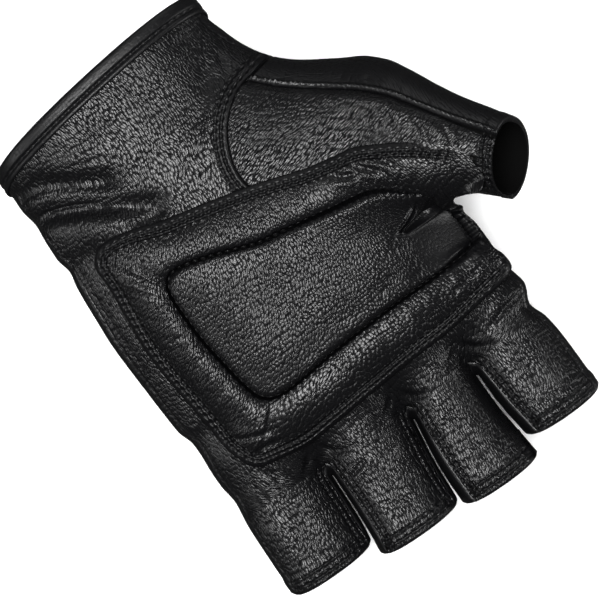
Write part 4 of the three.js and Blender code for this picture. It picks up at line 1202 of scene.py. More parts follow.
@dataclass
class Crease:
    """A fold line in the leather: a narrow dip along a plan path with soft swells beside it,
    which dies away towards the ends."""

    depth: float
    width: float
    path: Path
    swell: float = 0.35

    def rise(self, p: Array) -> Array:
        """How far it moves the leather's points.

        Args:
            p: the points.

        Returns:
            The heights.
        """
        path = rounded(np.array(self.path))
        d, along = path_distance(path, p[..., 0], p[..., 1])
        total = arc_lengths(path)[-1]
        fade = np.clip(np.minimum(along, total - along) / (0.35 * total), 0.15, 1.0)
        beside_it = bell(d - 2.1 * self.width, 1.3 * self.width)
        return fade * self.depth * (self.swell * beside_it - bell(d, self.width))


# How far from a row of stitches the leather is marked
ROW_REACH = 3.0
# Height above which a point lies on the palm side
PALMWARD = 20.0


@dataclass
class Row:
    """One row of stitches: a line over the glove in which the thread pulls the leather down,
    with a small gather between each stitch and the next."""

    plan: Array
    lane: int = 0
    pitch: float = 2.4
    depth: float = 0.3
    width: float = 0.6
    swell: float = 0.1
    gather: float = 0.07

    def __post_init__(self) -> None:
        """Spreads the stitches along the line."""
        ends = even(self.plan[:, :2], self.pitch)
        middles = (ends[1:] + ends[:-1]) / 2
        self.ends = FORM.over(ends[:, 0], ends[:, 1])
        self.middles = FORM.over(middles[:, 0], middles[:, 1])

    def trace(self, p: Array) -> tuple[Array, Array]:
        """How far points lie from the row, up to its reach, and how many stitches along it.

        Args:
            p: the points.

        Returns:
            The distances and the counts.
        """
        d, along = np.full(len(p), ROW_REACH), np.zeros(len(p))
        low, high = self.ends.min(axis=0) - ROW_REACH, self.ends.max(axis=0) + ROW_REACH
        near = np.flatnonzero(np.all((p > low) & (p < high), axis=1))
        part = p[near]
        best, run = np.full(len(part), ROW_REACH), np.zeros(len(part))
        for i, (start, end) in enumerate(zip(self.ends[:-1], self.ends[1:])):
            way = end - start
            t = np.clip((part - start) @ way / (way @ way), 0.0, 1.0)
            far = np.linalg.norm(part - start - t[:, None] * way, axis=1)
            run = np.where(far < best, i + t, run)
            best = np.minimum(far, best)
        d[near], along[near] = best, run
        return d, along


@dataclass
class Stitching:
    """What a piece's rows of stitches do to its surface."""

    rise: Array
    marks: Array

    @classmethod
    def of(cls, p: Array, rows: list[Row]) -> "Stitching":
        """Reads the rows at points.

        Args:
            p: the points.
            rows: the rows; those of one pair lie in different lanes.

        Returns:
            The relief, and for each of the two lanes the closeness to its nearest row,
            from 0 at its reach to 1 on it, with the count of stitches along it.
        """
        rise, marks = np.zeros(len(p)), np.zeros((2, len(p), 3))
        for row in rows:
            d, along = row.trace(p)
            rise += row.swell * bell(d - 1.1 * row.width - 0.25, 0.5) - row.depth * bell(d, row.width)
            rise += row.gather * np.cos(2 * math.pi * along) * bell(d, 1.5 * row.width)
            closeness = 1.0 - d / ROW_REACH
            closer = closeness > marks[row.lane, :, 0]
            marks[row.lane, closer] = point(closeness, along, 0.0)[closer]
        return cls(rise, marks)


@dataclass
class Thread:
    """Stitches: short spindles of thread, lying in their rows with the ends drawn in."""

    length: float = 2.0
    width: float = 0.42
    height: float = 0.28
    blunt: float = 0.14
    sunk: float = 0.02
    drawn_in: float = 0.34
    rings: int = 6
    sides: int = 6
    drop_from: float = 0.03

    def spindle(self) -> Array:
        """One stitch: rings of half width sqrt(1 - t^2) with blunt ends, t from -1 to 1.

        Returns:
            Its points by ring and side: along, across and above the leather.
        """
        t = np.linspace(-1.0, 1.0, self.rings)[:, None]
        turn = np.arange(self.sides)[None, :] * 2 * math.pi / self.sides
        fat = np.sqrt(np.maximum(1.0 - t * t, 0.0)) * (1.0 - self.blunt) + self.blunt
        above = fat * np.sin(turn) * self.height / 2 - self.sunk - self.drawn_in * t * t
        return point(t * self.length / 2, fat * np.cos(turn) * self.width / 2, above)

    def faces(self) -> Array:
        """Cells of one spindle: its rings, and a cap at each end.

        Returns:
            The corners of each cell.
        """
        first = np.arange(self.sides)
        last = first + (self.rings - 1) * self.sides
        caps = [[first[i], first[i + 1], first[-2 - i], first[-1 - i]] for i in range(self.sides // 2 - 1)]
        caps += [[last[-1 - i], last[-2 - i], last[i + 1], last[i]] for i in range(self.sides // 2 - 1)]
        return np.vstack([grid_quads(self.rings, self.sides, closed=True), caps])

    def build(self, name: str, rows: list[Row], cloth: Piece, slot: str) -> Piece:
        """Lays one spindle at each stitch of the rows, on a finished piece seen from above.

        Args:
            name: the new piece's name.
            rows: the rows.
            cloth: the leather piece that they are sewn in.
            slot: not used.

        Returns:
            The stitches as one piece.
        """
        mesh = cloth.data
        corners = np.empty(len(mesh.vertices) * 3)
        mesh.vertices.foreach_get("co", corners)
        cells = [tuple(face.vertices) for face in mesh.polygons]
        tree = BVHTree.FromPolygons(corners.reshape(-1, 3).tolist(), cells)
        middles = np.vstack([row.middles for row in rows])
        ways = np.vstack([unit(np.diff(row.ends, axis=0)) for row in rows])
        start = (middles + DATUM) * MM + np.array([0.0, 0.0, self.drop_from])
        hits = [tree.ray_cast(s, (0.0, 0.0, -1.0))[0] for s in start.tolist()]
        kept = np.array([hit is not None for hit in hits])
        place = np.array([hit for hit in hits if hit is not None]) / MM - DATUM
        up = FORM.outward(middles[kept])
        way = unit(ways[kept] - up * np.sum(ways[kept] * up, axis=-1, keepdims=True))
        axes = np.stack([way, np.cross(up, way), up], axis=1)
        points = place[:, None] + self.spindle().reshape(-1, 3) @ axes
        one = self.faces()
        away = points[0][one].mean(axis=1) - place[0]
        one = one if np.sum(cell_normals(points[0], one) * away) > 0 else one[:, ::-1]
        faces = (one[None] + np.arange(len(place))[:, None, None] * points.shape[1]).reshape(-1, 4)
        piece = make_piece(name, points.reshape(-1, 3), [faces])
        return piece


class Seams:
    """Where the glove is sewn: rows of stitches by the piece that shows them."""

    def __init__(self, pattern: Pattern) -> None:
        """Lays out the rows.

        Args:
            pattern: the nets.
        """
        self.pattern = pattern
        seam = smooth_rows(pattern.thumb_edges(True)[:, None], np.full(len(THUMB_SEAM) - 1, 8))
        self.base = even(seam[:, 0], 0.4)
        # Further on, the padded patch covers this seam
        sewn_base = self.base[:int(0.62 * len(self.base))]
        self.palm = [Row(beside(sewn_base, offset), lane, width=0.45, swell=0.0)
                     for lane, offset in enumerate((-1.7, -3.4))]
        for k, side in ((0, 1), (1, 1), (2, 1), (2, -1), (3, -1)):
            wall = pattern.finger_wall(k, side, np.zeros(9), np.linspace(0.02, 0.97, 9))
            self.palm += [Row(rounded(beside(wall, side * offset)), lane, swell=0.06)
                          for lane, offset in enumerate((0.8, 2.3))]
        self.palm += [Row(self.hem(k, below), lane, depth=0.22, swell=0.06)
                      for k in range(4) for lane, below in enumerate((2.0, 4.2))]
        self.thumb = [Row(self.mouth(below), lane, depth=0.2, pitch=2.1)
                      for lane, below in enumerate((1.4, 3.3))]
        self.thumb += [Row(PAD_ON_THUMB + offset * PAD_INWARD, lane, depth=0.12, width=0.35, swell=0.0)
                       for lane, offset in enumerate((1.0, 2.4))]

    def hem(self, k: int, below: float) -> Array:
        """The line across finger k's palm face at a distance from its tip.

        Args:
            k: the finger.
            below: the distance.

        Returns:
            The line in plan.
        """
        angles = np.radians(np.linspace(FINGER_SEAMS[k][0] + 5, min(FINGER_SEAMS[k][1], 150) - 3, 15))
        across = self.pattern.finger_point(k, angles, np.full(15, FINGER_TIPS[k] - below))
        tips = self.pattern.finger_tip(k, angles)
        return np.stack([across[:, 0], tips - below], axis=-1)

    def mouth(self, below: float) -> Array:
        """The line round the upper side of the thumb's opening at a distance from its edge.

        Args:
            below: the distance.

        Returns:
            The line in plan.
        """
        angles = np.radians(np.linspace(8, 118, 25))
        line = self.pattern.thumb_point(angles, self.pattern.thumb_mouth(angles) - below)
        return line[:, :2]


@dataclass
class PalmPanel:
    """The hand's leather on both sides, from the cuff to the fingertips."""

    pattern: Pattern
    seams: Seams
    cell: float = 0.68
    back_cell: float = 1.0
    hem: float = 4.9
    hem_rise: float = 0.3
    over_thumb: float = 4.2
    over_thumb_rise: float = 0.55
    sway: float = 3.5
    creases: tuple[Crease, ...] = (
        Crease(0.35, 2.4, ((27, 49.2), (21, 50.4), (9.9, 57.6), (-1.9, 64.6)), 0.1),
        Crease(0.6, 0.45, ((28, 57.0), (22.5, 58.0), (16, 60.6), (10, 64)), 0.2),
        Crease(0.35, 2.6, ((26, 59), (16.5, 61.6), (6.4, 67.2), (-0.8, 71), (-8.6, 73.8), (-17, 75.6)), 0.1),
        Crease(0.15, 0.8, ((14, 50), (6, 52.6), (-4, 57.4))),
        Crease(0.9, 0.4, ((26.6, 46), (27.1, 56), (26.6, 66), (27.3, 80), (28.3, 96), (28, 115), (27.2, 130),
                          (25.9, 136), (25.3, 143)), 0.7),
        Crease(0.3, 0.9, ((12, 72), (2, 75.4), (-8, 77.4))),
        Crease(0.4, 1.0, ((-44, 46), (-42, 50), (-42, 55))),
        Crease(0.7, 0.8, ((-74.5, 153.4), (-68, 154.2), (-60, 156.8))),
        Crease(0.5, 0.7, ((-12, 166.4), (-5, 168.2), (-1, 169.2))),
        Crease(0.6, 0.9, ((-60, 161.5), (-54, 158.5), (-50, 153.5))),
        Crease(0.5, 0.8, ((-41, 160), (-46, 158.0), (-50, 154.5))),
        Crease(0.6, 0.9, ((-37, 162.0), (-31, 159.5), (-28.5, 154))),
        Crease(0.5, 0.8, ((-19, 161), (-24, 158.5), (-27, 155))),
        Crease(0.6, 0.9, ((-10, 162.5), (-4, 159.5), (-0.8, 154.5))),
        Crease(0.5, 0.8, ((8, 161), (4, 158.5), (1.2, 155))),
        Crease(0.45, 0.8, ((17, 151.5), (14, 155), (13, 160))),
        Crease(0.35, 0.8, ((21, 152), (19.5, 157), (19, 163))),
    )

    def hide(self, face: bool) -> Hide:
        """The sheet of one side, strip by strip along the fingers.

        Args:
            face: the palm side or not.

        Returns:
            The sheet.
        """
        net, fingers = self.pattern.hand_net(face)
        cell = self.cell if face else self.back_cell
        rows = cuts(net, cell)
        flat = unrolled(*np.moveaxis(net, -1, 0))
        grids, laid, column = [], [], 0
        for finger in fingers:
            part = slice(column, column + finger.shape[1])
            whole = np.swapaxes(np.concatenate([net[:, part], finger[1:]]), 0, 1)
            columns, steps = cuts(whole, cell), cuts(finger, cell)
            grids += [refine(net[:, part], rows, columns), refine(finger, steps, columns)]
            tip = unrolled(*np.moveaxis(finger, -1, 0))
            tip = tip + (flat[-1, column] - tip[0, 0])
            laid += [finer(flat[:, part], rows, columns), finer(tip, steps, columns)]
            column += finger.shape[1] - 1
        hide = Hide.from_grids(grids, laid)
        hide.laid[:, 0] -= self.sway * np.sin(2 * math.pi * (hide.laid[:, 1] - 80.0) / 110.0)
        return hide

    def doubled(self, p: Array) -> Array:
        """Where the leather is folded under and stands higher: the fingertips' hems and the
        edge that is sewn over the thumb.

        Args:
            p: the points.

        Returns:
            The heights.
        """
        k = np.digitize(p[..., 0], FINGER_GAPS)
        drop = np.clip((29.0 - p[..., 2]) / 27.0, 0.0, 1.0)
        tip = np.array(FINGER_TIPS)[k] - TIP_RAKE * drop - p[..., 1]
        rise = self.hem_rise * fading(tip, self.hem - 0.7, self.hem) + 0.1 * bell(tip - 3.1, 0.7)
        base, _ = nearest(p, self.seams.base)
        sewn = fading(base, self.over_thumb - 0.8, self.over_thumb)
        return rise + self.over_thumb_rise * sewn * (p[..., 2] > PALMWARD)

    def ripples(self, p: Array) -> Array:
        """Soft unevenness: gathers that run out from between the fingers, lengthwise drag lines
        on the fingers, ripples by their hems, broad folds over the wrist, the full ball of the
        thumb, the hollow beside it, and the bulge beyond the wrist's fold.

        Args:
            p: the points.

        Returns:
            The heights.
        """
        x, y = p[..., 0], p[..., 1]
        gathers = 0.14 * bell(y - 158.5, 5.5) * waves(x + 0.3 * y, (2.9, 4.1, 6.3), 5)
        drags = 0.07 * smoothstep(y, 163.0, 170.0) * waves(x + 0.1 * y, (3.1, 5.2), 8)
        tips = 0.1 * bell(y - 183.0, 3.0) * waves(y + 0.2 * x, (2.6, 3.7), 14)
        wrist = 0.18 * (fading(y, 60.0, 86.0) * smoothstep(y, 38.0, 46.0))
        wrist = wrist * waves(0.75 * x + 0.55 * y, (11.0, 17.0, 27.0), 3)
        ball = 0.8 * bell(y - 60.5, 9.0) * smoothstep(-x, -4.0, 14.0) * (p[..., 2] > PALMWARD)
        hollow = 1.2 * (bell(x + 38.0, 6.5) * smoothstep(y, 35.0, 42.0) * fading(y, 54.0, 66.0))
        beyond = y + 0.55 * (x - 15.0)
        bulge = smoothstep(beyond, 62.5, 67.0) * fading(beyond, 67.0, 80.0) * smoothstep(x, 1.0, 8.0)
        return gathers + drags + tips + wrist + ball + (1.2 * bulge - hollow) * (p[..., 2] > 15.0)

    def lifted(self, p: Array) -> Array:
        """How much higher the palm's outside lies than its plain oval: along the
        little-finger side, and on each finger's side towards the little finger.

        Args:
            p: the points.

        Returns:
            The heights.
        """
        x, y = p[..., 0], p[..., 1]
        up = 1.2 * bell(x - 25.5, 3.5) * smoothstep(y, 44.0, 56.0) * fading(y, 138.0, 152.0)
        k = np.digitize(x, FINGER_GAPS)
        for i, finger in enumerate(FORM.fingers):
            cx, cz, a, _ = finger.section(np.maximum(y, 158.0))
            u = (x - cx) / a
            lean = 2.2 * smoothstep(u, -0.1, 0.85) - 0.4 * smoothstep(-u, 0.0, 0.8)
            up = up + np.where((k == i) & (p[..., 2] > cz), lean * smoothstep(y, 158.0, 170.0), 0.0)
        return up

    def build(self) -> list[Piece]:
        """Makes both sides of the hand.

        Returns:
            The palm and the back.
        """
        made = []
        for face, name in ((True, "palm_panel"), (False, "back_panel")):
            hide = self.hide(face)
            rise = rolled(hide.edge_distance(), 0.85, 0.75) + self.doubled(hide.points)
            hide.laid[:, 2] = fading(nearest(hide.points, self.seams.base)[0], 3.2, 3.9) * face
            sewing = Stitching.of(hide.points, self.seams.palm if face else [])
            if face:
                rise = rise + sewing.rise + self.ripples(hide.points)
                rise = rise + sum(fold.rise(hide.points) for fold in self.creases)
            rise = rise * smoothstep(hide.points[:, 2], 0.0, 1.5)
            lift = self.lifted(hide.points) if face else None
            made.append(leather_wall(f"{name}_leather", hide, rise, PANEL, sewing, lift))
            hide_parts(name)
        return made


@dataclass
class Gussets:
    """The folded strips between neighbouring fingers."""

    pattern: Pattern
    cell: float = 0.7
    swell: tuple[float, float, float] = (0.0, 0.12, 0.12)

    def build(self) -> list[Piece]:
        """Makes the three strips.

        Returns:
            The strips, from the index.
        """
        made = []
        for k, swell in enumerate(self.swell):
            hide = Hide.from_net(self.pattern.gusset_net(k), self.cell)
            d = hide.edge_distance()
            rise = rolled(d, 0.8, 0.6) + swell * smoothstep(d, 0.5, 5.0)
            name = f"gusset_{FINGER_NAMES[k]}"
            made.append(leather_wall(f"{name}_leather", hide, rise, GUSSET))
            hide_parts(name)
        return made


@dataclass
class Thumb:
    """The thumb: its palm side and its outer side, joined by a raised, gathered seam."""

    pattern: Pattern
    seams: Seams
    cell: float = 0.45
    hem: float = 3.9
    beads: float = 1.45
    folds: tuple[Crease, ...] = (
        Crease(0.2, 0.8, ((-70, 84), (-71, 91), (-70, 98))),
        Crease(0.25, 0.8, ((-76, 92), (-77, 99), (-75, 107))),
        Crease(0.2, 0.7, ((-81, 98), (-82, 104), (-80, 111))),
    )

    def relief(self, hide: Hide, sewing: Stitching, outer: bool, ridge: Array) -> Array:
        """Relief of one side: the rolled edge, the hem of the opening, and along the ridge
        seam a row of small beads on the outer side and a groove on the palm side.

        Args:
            hide: the side's sheet.
            sewing: its stitches.
            outer: whether it is the outer side.
            ridge: points along the ridge seam.

        Returns:
            The heights.
        """
        p = hide.points
        seam, which = nearest(p, ridge)
        below = FORM.below_mouth(p)
        rise = rolled(hide.edge_distance(), 0.6, 0.5) + 0.25 * fading(below, self.hem - 0.6, self.hem)
        rise = rise + sewing.rise
        if outer:
            along = which * np.linalg.norm(np.diff(ridge, axis=0), axis=1).mean()
            beads = 1.0 + 0.3 * np.sin(2 * math.pi * (along + 0.9 * seam) / self.beads)
            rise = rise + 0.85 * beads * bell(seam - 0.95, 0.6) * smoothstep(below, 0.0, 5.0)
        else:
            drags = waves(0.35 * p[:, 0] + 0.94 * p[:, 1], (2.9, 4.4, 6.7), 21)
            rise = rise - 0.4 * bell(seam - 0.2, 0.5) + 0.06 * smoothstep(below, 3, 9) * drags
            rise = rise + sum(fold.rise(p) for fold in self.folds)
            side = np.maximum(4.0 - FORM.to_thumb(p[:, 0], p[:, 1])[1], 0.0)
            rise = rise + 0.006 * side**2 * smoothstep(seam, 0.3, 4.0) * smoothstep(below, 8.0, 24.0)
            rise = rise - FORM.thumb_dip(p)
        return rise * smoothstep(p[:, 2], 0.0, 1.5)

    def build(self) -> list[Piece]:
        """Makes the palm side and the outer side.

        Returns:
            The palm side and the outer side.
        """
        made = []
        nets = self.pattern.thumb_nets()
        line = smooth_rows(nets[1][:1].transpose(1, 0, 2), np.full(THUMB_ROWS, 12))[:, 0]
        ridge = even(line, 0.3)
        for net, name, slot in zip(nets, ("thumb_front", "thumb_back"), ("grain_leather", "smooth_leather")):
            s, t = FORM.to_thumb(net[..., 0], net[..., 1])
            flat = np.swapaxes(unrolled(t.T, s.T, net[..., 2].T), 0, 1)[..., [1, 0, 2]]
            hide = Hide.from_net(net, self.cell, flat)
            if name == "thumb_front":
                across = hide.laid[:, 1]
                hide.laid[:, 0] += 0.6 * across - 0.0064 * across**2
            sewing = Stitching.of(hide.points, self.seams.thumb)
            rise = self.relief(hide, sewing, name == "thumb_back", ridge)
            made.append(leather_wall(f"{name}_leather", hide, rise, PANEL, sewing))
            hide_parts(name)
        return made


@dataclass
class PalmPad:
    """The padded patch over the palm: a stitched edge, a puffy border, a sewn channel and
    the thick pad inside it."""

    # Points along each half of the loop, rings over the border and over the pad, and how many
    # of them make one ring of the underside
    half: int = 430
    border_rows: int = 44
    pad_rows: int = 36
    under_step: int = 4
    # Thickness at the edge, in the channel and of the pad; the rows' distances from the edge
    edge: float = 1.5
    channel: float = 0.55
    height: float = 4.3
    offsets: tuple[float, float] = (1.95, 3.35)
    # Places round the loop, in rows of the table: its two ends, and where its stitches stop
    left: float = 40.5
    right: float = 18.4
    sewn_to: float = 34.4
    folds: tuple[Crease, ...] = (
        Crease(0.55, 0.9, ((-47, 93.5), (-51, 97), (-57, 99)), 0.8),
        Crease(0.5, 0.8, ((-53, 94), (-58, 99), (-63, 103.5)), 0.8),
        Crease(0.4, 0.7, ((-60, 96), (-64, 101), (-67, 106)), 0.8),
        Crease(0.5, 0.7, ((19, 139), (13, 142.5), (5, 144.5))),
        Crease(0.4, 0.7, ((17, 147.5), (11, 147), (4, 148.2))),
        Crease(0.8, 0.8, ((-70.5, 134.9), (-66, 135.1), (-58, 135.6))),
        Crease(0.4, 0.8, ((-70, 141), (-63, 141.4), (-56, 142.6))),
    )
    dart_lip: Path = ((-64.5, 114.2), (-60, 116.0), (-54.3, 119.2))
    dart_slit: Path = ((-69, 116.6), (-62, 118.2), (-56, 119.6))
    dart_edge: Path = ((-70, 119.4), (-62, 120.6), (-55.2, 121.0))

    def __post_init__(self) -> None:
        """Draws the closed edge and channel loops from the table and lays out the stitches."""
        steps = 40
        table = np.vstack([PAD[-3:], PAD, PAD[:4]])
        net = np.zeros((len(table), 2, 3))
        net[:, 0, :2], net[:, 1, :2] = table[:, :2], table[:, 2:4]
        fine = smooth_rows(net, np.full(len(table) - 1, steps))[3 * steps:-3 * steps]
        self.q = np.arange(len(fine)) / steps
        self.edge_loop, self.channel_loop = fine[:, 0, :2], fine[:, 1, :2]
        self.crest_loop = np.interp(self.q, np.arange(len(PAD) + 1), np.append(PAD[:, 4], PAD[0, 4]))
        way = unit(np.gradient(self.edge_loop, axis=0))
        inward = np.stack([-way[:, 1], way[:, 0]], axis=-1)
        inward = inward * np.sign(np.sum(inward * (self.channel_loop - self.edge_loop)))
        # Which parts of the border lie on the thumb's side, where its crest is by the channel
        self.thumbward = smoothstep(inward @ np.array([0.3, 0.95]), 0.3, 0.9)
        self.crest_loop = self.crest_loop + smoothstep(-inward[:, 0], 0.5, 0.8)
        self.sewn = fading(self.q, self.sewn_to, self.sewn_to + 0.5)
        sewn_part = self.edge_loop[:int(self.sewn_to * steps)]
        way_in = inward[:len(sewn_part)]
        self.rows = [Row(sewn_part + way_in * offset, lane, depth=0.12, width=0.35, swell=0.0)
                     for lane, offset in enumerate(self.offsets)]
        self.rows.append(Row(self.channel_loop[:int(37 * steps)], depth=0.05, swell=0.0))

    def value(self, values: Array, q: Array) -> Array:
        """Reads values round the closed loop at places q, counted in rows of the table."""
        return np.interp(np.mod(q, len(PAD)), self.q, values)

    def at(self, loop: Array, q: Array) -> Array:
        """Reads a closed loop's points at places q."""
        return point(*(self.value(column, q) for column in loop.T))

    def samples(self) -> tuple[Array, Array]:
        """Places round the loop, evenly spaced in each half, with each one's share of the
        way from the left end to the right end.

        Returns:
            The places and the shares.
        """
        turns = arc_lengths(self.edge_loop)
        left, right = np.interp([self.left, self.right], self.q, turns)
        share = np.arange(self.half) / self.half
        down = left + share * (right + turns[-1] - left)
        up = right + turns[-1] + share * (left - right)
        q = np.interp(np.mod(np.concatenate([down, up]), turns[-1]), turns, self.q)
        return q, np.concatenate([share, 1.0 - share])

    def plan(self, q: Array, share: Array, v: Array) -> tuple[Array, Array, Array, Array]:
        """Plan place of loop place q and step v: 0 edge, 1 channel, 2 the pad's middle line.

        Args:
            q: places round the loop.
            share: shares of the way from left to right.
            v: steps inwards.

        Returns:
            The place, and the lengths from the edge, from the channel and across the border.
        """
        edge, channel = self.at(self.edge_loop, q), self.at(self.channel_loop, q)
        fan = np.clip((share - 0.16) / 0.68, 0.0, 1.0)[..., None]
        spine = mix(PAD_SPINE[0], PAD_SPINE[1], fan)
        out, within = np.minimum(v, 1.0), np.maximum(v - 1.0, 0.0)
        border, pad = mix(edge, channel, out[..., None]), mix(channel, spine, within[..., None])
        place = np.where(v[..., None] < 1.0, border, pad)
        width = np.linalg.norm(edge - channel, axis=-1)
        inside = np.linalg.norm(channel - spine, axis=-1)
        return place, out * width, np.where(v < 1.0, (1.0 - v) * width, within * inside), width

    def dart(self, place: Array) -> Array:
        """The short dart at the thumb crotch: two bright lips, a slit and a stitched edge.

        Args:
            place: plan places.

        Returns:
            The heights.
        """
        x, y = place[..., 0], place[..., 1]
        lip, along = path_distance(self.dart_lip, x, y)
        fade = smoothstep(along, 0.0, 2.0) * fading(along, 10.5, 12.6)
        slit, _ = path_distance(self.dart_slit, x, y)
        edge, _ = path_distance(self.dart_edge, x, y)
        lips = bell(lip - 0.6, 0.45) + bell(lip + 0.6, 0.45) - 1.2 * bell(lip, 0.35)
        return 0.9 * fade * lips - 1.5 * bell(slit, 0.9) + 0.45 * bell(edge, 0.6)

    def thickness(self, q: Array, place: Array, e: Array, c: Array, width: Array, inside: Array) -> Array:
        """How thick the patch is.

        The border is flat for its two rows of stitches, then swells towards the channel as
        (1 - (1 - t)^a) (1 - t^b)^0.8, where a and b are 2.2 and 10 towards the thumb and 3.4
        and 4.2 towards the fingers. The pad rises from the channel as 1 - e^(-c / 0.6).

        Args:
            q: places round the loop.
            place: plan places.
            e: lengths from the edge.
            c: lengths from the channel.
            width: widths of the border.
            inside: which places lie inside the channel.

        Returns:
            The thicknesses.
        """
        crest = self.value(self.crest_loop, q)
        x = place[..., 0]
        flat = self.offsets[1] + 0.3
        t = np.clip((e - flat) / np.maximum(width - flat, 0.5), 0.0, 1.0)
        thumbward = self.value(self.thumbward, q)
        puff = (1.0 - (1.0 - t) ** mix(3.4, 2.2, thumbward)) * (1.0 - t ** mix(4.2, 10.0, thumbward)) ** 0.8
        border = self.edge + np.maximum(crest - self.edge, 0.3) * puff
        sewn = self.value(self.sewn, q)
        # The rolled edge, pulled down where it is sewn, and a welt between its two rows
        border = border + rolled(e, 0.7, 0.3) - 0.45 * np.maximum(1.7 - e, 0.0) * sewn
        border = border - (1.0 - sewn) * np.maximum(6.0 - e, 0.0) * 0.17
        border = border + 0.25 * sewn * bell(e - sum(self.offsets) / 2, 0.6)
        border = border - (self.edge - self.channel) * bell(c, 0.3)
        # The lobe in the thumb crotch: its index side stands up, the rest thins towards its end
        index_side = smoothstep(x, -89.0, -82.0) * smoothstep(place[..., 1], 119.0, 123.0)
        border = border + np.clip(-0.4 * (x + 64.0), 0.0, 2.8) * index_side
        border = border - 0.17 * np.maximum(-x - 70.0, 0.0) * (1.0 - index_side)
        border = border + 0.1 * puff * waves(q * 8.0, (3.1, 5.3, 9.1), 11)
        # The pad flattens out towards the thumb
        full = mix(-0.15, 1.0, smoothstep(x, -77.0, -47.0))
        pad = self.channel + (self.height - self.channel) * full * (1.0 - np.exp(-c / 0.6))
        pad = pad + 0.5 * full * smoothstep(c, 1.0, 14.0)
        return np.where(inside, pad, border)

    def build(self) -> Piece:
        """Makes the patch as one closed piece over the palm and the thumb.

        Returns:
            The patch.
        """
        q, share = self.samples()
        v = np.concatenate([np.arange(self.border_rows) / self.border_rows,
                            1.0 + np.arange(self.pad_rows + 1) / self.pad_rows])
        size = (len(v), len(q))
        q, share, v = (np.broadcast_to(values, size) for values in (q, share, v[:, None]))
        place, e, c, width = self.plan(q, share, v)
        base = FORM.over(place[..., 0], place[..., 1])
        outward = FORM.outward(base)
        flat = base.reshape(-1, 3)
        sewing = Stitching.of(flat, self.rows)
        folded = sum(fold.rise(flat) for fold in self.folds)
        thick = self.thickness(q, place, e, c, width, v >= 1.0) + (sewing.rise + folded).reshape(size)
        thick = np.maximum(thick + self.dart(place), 0.3)
        on_thumb = fading(base[..., 1], 119.0, 125.0) * smoothstep(-base[..., 0], 60.0, 68.0)
        lift = PAD_LIFT + 0.6 * (1.0 - outward[..., 2]) - on_thumb * FORM.thumb_dip(base)
        top = (base + outward * (lift + thick)[..., None]).reshape(-1, 3)
        under = (base + outward * lift[..., None])[::self.under_step]
        quads, below = self.sheet(*size), self.sheet(*under.shape[:2]) + len(top)
        ring = np.arange(size[1])
        edge = np.stack([np.roll(ring, -1), ring, ring + len(top), np.roll(ring, -1) + len(top)], axis=-1)
        if np.sum(cell_normals(top, quads)[:, 2]) > 0:
            below = below[:, ::-1]
        else:
            quads, edge = quads[:, ::-1], edge[:, ::-1]
        # Its hide is drawn along the border's ends, and lies plain at its edge and in the crotch
        lean = mix(-0.09, 0.58, np.clip((flat[:, 0] + 50.0) / 60.0, -0.2, 1.2))
        plain = fading(e, 3.5, 4.1) * smoothstep(place[..., 0], -75.0, -68.0)
        crotch = 0.9 * fading(np.hypot(flat[:, 0] + 65.0, flat[:, 1] - 128.5), 8.0, 13.0)
        plain = np.maximum(plain.reshape(-1), crotch)
        laid = point(flat[:, 0] - lean * (flat[:, 1] - 112.0), flat[:, 1], plain)
        piece = make_piece("palm_pad_leather", np.vstack([top, under.reshape(-1, 3)]), [quads, below, edge],
                           laid=laid, **dict(zip(LANES, sewing.marks)))
        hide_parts("palm_pad")
        return piece

    def sheet(self, rows: int, columns: int) -> Array:
        """Cells of rings of points whose last ring lies folded along the pad's middle line,
        so that its two halves share their points.

        Args:
            rows: how many rings.
            columns: points in each.

        Returns:
            The cells' corners.
        """
        quads = grid_quads(rows, columns, closed=True)
        last = (rows - 1) * columns
        ring = np.arange(columns)
        same = np.arange(rows * columns)
        same[last:] = last + np.where(ring > columns // 2, columns - ring, ring)
        return same[quads]


